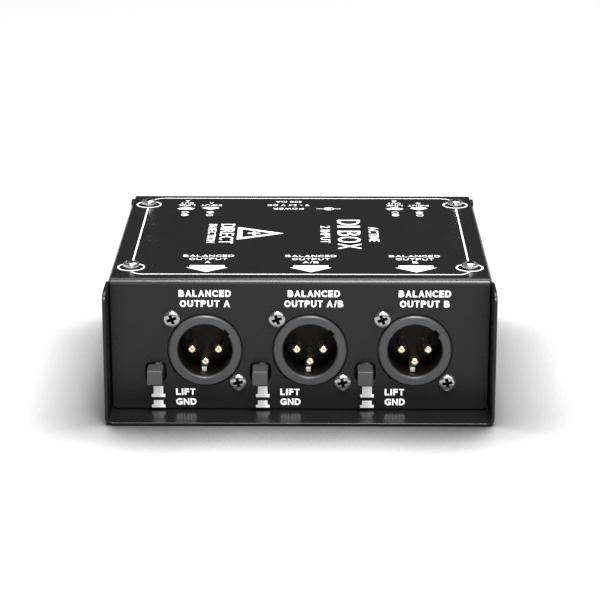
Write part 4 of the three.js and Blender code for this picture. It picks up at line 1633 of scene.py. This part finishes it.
@dataclass
class Legends:
    """The white print on the front panel, the top and the rear panel.

    Drawings are in millimetres. On the front and rear panels they run along X and Z, and on the top
    along X and the distance behind the front panel.
    """

    letters: Lettering = field(default_factory=Lettering)
    light: Lettering = field(default_factory=lambda: Lettering(weight=0.005, swell=0.0))
    label_centres: dict = field(default_factory=lambda: {"a": -28.4, "ab": 4.15, "b": 37.25})
    top_centres: dict = field(default_factory=lambda: {"a": -28.35, "ab": 3.2, "b": 35.1})
    line: float = 0.5
    ring: float = 4.2

    def build(self) -> list[Object]:
        """Makes every print."""
        pieces = []
        for channel in CHANNELS:
            pieces += [
                self.output_label(channel), self.lift_label(channel), self.arrow_label(channel),
            ]
        return pieces + [
            self.border(), self.title(), self.emblem(), self.rear_legends(),
            self.rear_panel_print(),
        ]

    def printed(self, parts: list[BMesh], name: str, facing: Facing, place: Vector) -> Object:
        """Scales a drawing from millimetres and lays it on its surface.

        Args:
            parts: flat prints with the ink's true thickness along Z.
            name: the piece's name.
            facing: the way it reads.
            place: the drawing's origin on the surface.

        Returns:
            The dressed print.
        """
        bm = joined(parts)
        bmesh.ops.scale(bm, vec=(MM, MM, 1), verts=bm.verts)
        piece = as_object(moved(bm, facing.matrix(place)), name)
        return dress(piece, INK, Slot.PRINT_WHITE)

    def bar(self, x0: float, y0: float, x1: float, y1: float) -> BMesh:
        """A plain rectangle of ink."""
        return slab([(x0, y0), (x1, y0), (x1, y1), (x0, y1)], self.letters.ink)

    def shape(self, *corners: tuple[float, float]) -> BMesh:
        """A plain outline of ink."""
        return slab(list(corners), self.letters.ink)

    def circle(self, x: float, y: float, inner: float, outer: float) -> BMesh:
        """A ring of ink, or a dot when its inner radius is 0."""
        if inner > 0:
            return shifted(band(inner, outer, 0.0, TURN, self.letters.ink), x, y)
        return shifted(rod(outer, 0.0, self.letters.ink, 28), x, y)

    @property
    def panel(self) -> Vector:
        """The front panel's outer face at X = 0 and Z = 0."""
        return Vector((0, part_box("top_cover")[0].y, 0))

    @property
    def lid(self) -> Vector:
        """The top at X = 0, above the front panel's outer face."""
        low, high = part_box("top_cover")
        return Vector((0, low.y, high.z))

    def output_label(self, channel: str) -> Object:
        """The name over one output."""
        x = self.label_centres[channel]
        name = {"a": "OUTPUT A", "ab": "OUTPUT A/B", "b": "OUTPUT B"}[channel]
        width = {"a": 15.0, "ab": 17.6, "b": 14.9}[channel]
        parts = [
            self.letters.centred("BALANCED", x, 36.6, 15.6, 2.1),
            self.letters.centred(name, x, 33.45, width, 2.1),
        ]
        return self.printed(parts, f"print_output_{channel}", Facing.FRONT, self.panel)

    def lift_label(self, channel: str) -> Object:
        """The two button pictures and their words, left of one output's lower edge."""
        axis = middle(f"output_{channel}_housing").x / MM
        x, left = axis - 14.27, axis - 8.94
        parts = [
            self.bar(x - 2.05, 4.96, x + 2.05, 5.95),
            self.bar(x - 1.45, 5.95, x + 1.45, 8.44),
            self.bar(x - 2.05, 1.65, x + 2.05, 2.55),
            self.bar(x - 1.45, 2.55, x + 1.45, 3.95),
            self.letters.line("LIFT", left, left + 5.84, 5.65, 7.7),
            self.letters.line("GND", left, left + 6.13, 2.5, 4.6),
        ]
        return self.printed(parts, f"print_lift_{channel}", Facing.FRONT, self.panel)

    def arrow_label(self, channel: str) -> Object:
        """The arrow to one output, and its name, on the top."""
        x = self.top_centres[channel]
        letter = {"a": "A", "ab": "A/B", "b": "B"}[channel]
        width = {"a": 1.7, "ab": 4.9, "b": 1.7}[channel]
        parts = [
            self.shape(
                (x - 5.3, 15.3), (x - 5.3, 13.0), (x - 6.3, 13.0), (x, 8.1), (x + 6.3, 13.0),
                (x + 5.3, 13.0), (x + 5.3, 15.3),
            ),
            self.light.centred("BALANCED", x, 24.9, 15.7, 2.1),
            self.light.centred("OUTPUT", x, 21.4, 11.7, 2.1),
            self.light.centred(letter, x, 17.9, width, 2.1),
        ]
        return self.printed(parts, f"print_arrow_{channel}", Facing.TOP, self.lid)

    def border(self) -> Object:
        """The rings round the cover screws and the lines between them."""
        half = self.line / 2
        parts = []
        corner_front, corner_rear = 3.5, 4.7
        screw = middle("cover_screw_front_right")
        across = screw.x / MM
        front = (screw.y - self.lid.y) / MM
        rear = (middle("cover_screw_rear_right").y - self.lid.y) / MM
        near, far = front - self.ring + 0.2, rear + self.ring - 0.2
        for side in (-1, 1):
            x = side * across
            for y in (front, rear):
                parts.append(self.circle(x, y, self.ring - self.line, self.ring))
            parts.append(self.bar(x - half, front + self.ring, x + half, rear - self.ring))
            joint = x - side * 0.5
            for y, radius, towards in ((near, corner_front, -1), (far, corner_rear, 1)):
                start = {(-1, -1): 2, (1, -1): 3, (-1, 1): 1, (1, 1): 0}[(side, towards)] * QUARTER
                arc = band(radius - half, radius + half, start, QUARTER, self.letters.ink)
                parts.append(shifted(arc, joint - side * radius, y))
        for y, radius in ((near - corner_front, corner_front), (far + corner_rear, corner_rear)):
            end = across - 0.5 - radius
            parts.append(self.bar(-end, y - half, end, y + half))
        return self.printed(parts, "print_border", Facing.TOP, self.lid)

    def sideways(self, text: str, foot: float, cap: float, far: float, near: float) -> BMesh:
        """A word that runs from the rear towards the front, its capitals' tops towards +X."""
        return self.light.line(text, -far, -near, foot, foot + cap)

    def title(self) -> Object:
        """The large title with its two smaller lines."""
        parts = [
            self.sideways("DI BOX", 11.6, 7.35, 69.5, 34.1),
            self.sideways("2 INPUT", 6.2, 3.0, 61.8, 41.3),
            self.sideways("ACTIVE", 21.55, 3.15, 60.2, 42.7),
        ]
        return self.printed(parts, "print_title", Facing.TOP_SIDEWAYS, self.lid)

    def emblem(self) -> Object:
        """An amplifier sign, a triangle with its lead in and lead out, and two plain words."""
        x, y = -13.2, 52.6
        parts = [
            self.shape(
                (x - 7.2, y + 7.6), (x - 7.2, y - 7.6), (x - 5.6, y - 5.0), (x - 5.6, y + 5.0),
            ),
            self.shape((x - 7.2, y - 7.6), (x + 7.6, y), (x + 4.2, y), (x - 5.6, y - 5.0)),
            self.shape((x + 7.6, y), (x - 7.2, y + 7.6), (x - 5.6, y + 5.0), (x + 4.2, y)),
            self.bar(x - 3.9, y - 0.5, x + 0.1, y + 0.5),
            self.bar(x - 2.4, y - 2.0, x - 1.4, y - 0.5),
            self.bar(x - 2.4, y + 0.5, x - 1.4, y + 2.0),
        ]
        emblem = self.printed(parts, "print_emblem", Facing.TOP, self.lid)
        words = [
            self.sideways("DIRECT", -26.0, 4.5, 64.0, 40.5),
            self.sideways("INJECTION", -29.9, 2.6, 63.8, 41.2),
        ]
        return self.with_words(emblem, words)

    def with_words(self, emblem: Object, words: list[BMesh]) -> Object:
        """Joins the two words to the emblem's piece, as one print."""
        bm = joined(words)
        bmesh.ops.scale(bm, vec=(MM, MM, 1), verts=bm.verts)
        moved(bm, Facing.TOP_SIDEWAYS.matrix(self.lid))
        bm.from_mesh(emblem.data)
        bm.to_mesh(emblem.data)
        bm.free()
        return emblem

    def rear_legends(self) -> Object:
        """The jacks' and power inlet's names along the top's rear edge, read from behind."""
        parts = []
        for x, letter in ((-38.6, "A"), (30.9, "B")):
            parts += self.jack_legend(-x, ("LINK", "OUT", letter), True)
        for x, letter in ((-30.4, "A"), (38.9, "B")):
            parts += self.jack_legend(-x, ("INPUT", letter), False)
        power = 4.6
        parts += [
            self.light.centred("POWER", power, -85.0, 10.2, 2.0),
            self.light.centred("9 - 24 V DC", power, -89.7, 13.9, 2.0),
            self.light.centred("100 mA", power, -94.2, 8.5, 2.0),
        ]
        parts += self.polarity(-8.9, -84.0)
        return self.printed(parts, "print_rear_legends", Facing.TOP_FROM_REAR, self.lid)

    def jack_legend(self, x: float, words: tuple[str, ...], out: bool) -> list[BMesh]:
        """An arrow, two dots and stacked words for one jack.

        Args:
            x: the legend's middle in the drawing.
            words: the lines from the arrow outwards.
            out: whether the arrow points out of the box.

        Returns:
            The drawing's parts.
        """
        base, tip = (-82.8, -86.3) if out else (-85.9, -82.5)
        wing = -82.8 - 1.1 if out else -85.9 + 1.1
        arrow = self.shape(
            (x - 2.4, base), (x - 2.4, wing), (x - 3.05, wing), (x, tip),
            (x + 3.05, wing), (x + 2.4, wing), (x + 2.4, base),
        )
        parts = [arrow]
        open_at, filled_at = (-79.1, -75.7) if out else (-75.6, -79.1)
        parts += [self.circle(x, open_at, 0.9, 1.2), self.circle(x, filled_at, 0.0, 1.2)]
        foot = -89.3
        for word in words:
            width = {1: 1.5, 3: 4.4, 4: 5.6, 5: 7.0}[len(word)]
            parts.append(self.light.centred(word, x, foot, width, 1.8))
            foot -= 2.9
        return parts

    def polarity(self, x: float, y: float) -> list[BMesh]:
        """The centre-pin polarity sign of a direct-current plug."""
        return [
            self.circle(x, y, 0.0, 0.75),
            shifted(band(1.4, 1.75, 0.5, TURN - 1.0, self.letters.ink), x, y),
            self.bar(x + 0.7, y - 0.15, x + 4.1, y + 0.15),
            self.bar(x - 4.1, y - 0.15, x - 1.7, y + 0.15),
        ]

    def rear_panel_print(self) -> Object:
        """Plain names beside the sockets on the rear panel."""
        parts = []
        for side, letter in (("a", "A"), ("b", "B")):
            x = -middle(f"input_{side}_nut").x / MM
            below, above = (middle(f"{role}_{side}_nut").z / MM for role in ("input", "link"))
            out = -1 if x > 0 else 1
            parts += [
                self.letters.centred(f"LINK {letter}", x + out * 15.5, above - 1, 8.6, 2.0),
                self.letters.centred(f"INPUT {letter}", x + out * 16.0, below - 1, 10.0, 2.0),
            ]
        inlet = middle("power_inlet_pin")
        x, z = -inlet.x / MM, inlet.z / MM
        parts.append(self.letters.centred("POWER", x, z + 7.5, 9.6, 2.0))
        place = Vector((0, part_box("top_cover")[1].y, 0))
        return self.printed(parts, "print_rear_panel", Facing.REAR, place)


# ---------------------------------------------------------------- studio


@dataclass(frozen=True)
class Softbox:
    """A rectangular soft light that points at the box.

    Its tilt is the angle from straight up, towards the front. Its swing is to the right of that.
    """

    name: str
    tilt: float
    swing: float
    reach: float
    size: tuple[float, float]
    radiance: float

    def place(self, target: Vector) -> None:
        """Hangs the light.

        Args:
            target: the point that it lights.
        """
        light = bpy.data.lights.new(self.name, "AREA")
        light.shape = "RECTANGLE"
        light.size, light.size_y = self.size
        light.energy = self.radiance * math.pi * self.size[0] * self.size[1]
        tilt, swing = math.radians(self.tilt), math.radians(self.swing)
        level = math.cos(swing)
        away = Vector((math.sin(swing), -math.sin(tilt) * level, math.cos(tilt) * level))
        holder = bpy.data.objects.new(self.name, light)
        turn = (-away).to_track_quat("-Z", "Y").to_matrix().to_4x4()
        holder.matrix_world = Matrix.Translation(target + away.normalized() * self.reach) @ turn
        bpy.context.scene.collection.objects.link(holder)


@dataclass
class Studio:
    """The pale floor with its painted shadow, the soft lights and the camera."""

    floor_size: float = 12.0
    floor_colour: tuple[float, float, float] = (0.50, 0.50, 0.50)
    # The next three set the painted shadow on the floor: how far its occlusion reaches, how
    # strongly it darkens the colour, and its lean towards the rear.
    painted_shadow_reach: float = 0.04
    painted_shadow_depth: float = 2.2
    painted_shadow_lean: tuple[float, float, float] = (0.0, 0.7071, 0.7071)
    sky: float = 0.06
    target: tuple[float, float, float] = (0.0, 0.0, 0.02)
    lights: tuple[Softbox, ...] = (
        Softbox("rear_softbox", -26.0, 8.0, 2.6, (1.5, 1.6), 6.5),
        Softbox("front_strip", 22.0, 3.0, 2.2, (0.62, 1.15), 40.0),
        Softbox("front_fill", 60.0, 10.0, 2.6, (2.6, 2.4), 2.5),
    )
    camera_place: tuple[float, float, float] = (0.005052, -0.689758, 0.230376)
    camera_pitch: float = math.radians(90 - 16.8725)
    camera_yaw: float = math.radians(0.4496)
    lens: float = 135.148
    shift: float = 0.0018

    def build(self) -> list[Object]:
        """Sets the stage."""
        self.world()
        for light in self.lights:
            light.place(Vector(self.target))
        self.camera()
        return [self.floor()]

    def floor(self) -> Object:
        """A pale floor under the box, with a painted shadow: occlusion darkens its colour, most in
        front of the box.
        """
        bm = bmesh.new()
        bmesh.ops.create_grid(bm, x_segments=4, y_segments=4, size=self.floor_size / 2)
        floor = as_object(bm, "floor")
        graph = Graph("pale_floor_with_painted_shadow")
        graph.shader.inputs["Specular IOR Level"].default_value = 0.0
        graph.shader.inputs["Roughness"].default_value = 0.9
        shade_light = tuple(part * 1.01 for part in self.floor_colour)
        patches = graph.range(graph.noise(3.0, 2.0, (1, 1, 1)), 0.0, 1.0)
        pale = graph.mix(patches, self.floor_colour, shade_light)
        # Painted shadow: ambient occlusion, its hemisphere leant towards the rear, multiplies the
        # floor's colour.
        near = graph.node("ShaderNodeAmbientOcclusion", Distance=self.painted_shadow_reach, samples=8)
        lean = graph.node("ShaderNodeCombineXYZ")
        for socket, part in zip(lean.inputs, self.painted_shadow_lean):
            socket.default_value = part
        graph.link(lean.outputs[0], near.inputs["Normal"])
        painted_shadow_power = graph.node("ShaderNodeMath", operation="POWER")
        painted_shadow_power.inputs[1].default_value = self.painted_shadow_depth
        graph.link(near.outputs["AO"], painted_shadow_power.inputs[0])
        painted_shadow_tint = graph.node("ShaderNodeMix", data_type="RGBA", blend_type="MULTIPLY")
        painted_shadow_tint.inputs[0].default_value = 1.0
        graph.link(pale, painted_shadow_tint.inputs[6])
        graph.link(painted_shadow_power.outputs[0], painted_shadow_tint.inputs[7])
        graph.link(painted_shadow_tint.outputs[2], graph.shader.inputs["Base Color"])
        floor.data.materials.append(graph.material)
        return floor

    def world(self) -> None:
        """An even, dim surround."""
        world = bpy.data.worlds.new("surround")
        world.use_nodes = True
        background = world.node_tree.nodes["Background"]
        background.inputs["Color"].default_value = (1.0, 1.0, 1.0, 1.0)
        background.inputs["Strength"].default_value = self.sky
        scene = bpy.context.scene
        scene.world = world
        scene.view_settings.view_transform = "Standard"

    def camera(self) -> None:
        """A long lens, a little above the front."""
        lens = bpy.data.cameras.new("camera")
        lens.lens = self.lens
        lens.sensor_width = 36.0
        lens.shift_y = self.shift
        lens.clip_start = 0.01
        holder = bpy.data.objects.new("camera", lens)
        holder.location = self.camera_place
        holder.rotation_euler = (self.camera_pitch, 0.0, self.camera_yaw)
        bpy.context.scene.collection.objects.link(holder)
        bpy.context.scene.camera = holder


# ---------------------------------------------------------------- assembly


def main() -> None:
    """Builds the sub-assemblies in order and reports each piece."""
    logging.basicConfig(level=logging.INFO, format="%(message)s")
    assemblies = [
        Studio(),
        Case(),
        CoverScrews(),
        *(OutputConnector(channel) for channel in CHANNELS),
        *(LiftSwitch(channel) for channel in CHANNELS),
        *(StackedJacks(side) for side in "ab"),
        PowerInlet(),
        Circuit(),
        Legends(),
    ]
    for assembly in assemblies:
        for piece in assembly.build():
            faces = len(piece.data.polygons)
            LOG.info("%s: %s, %d faces", type(assembly).__name__, piece.name, faces)


if __name__ == "__main__":
    main()
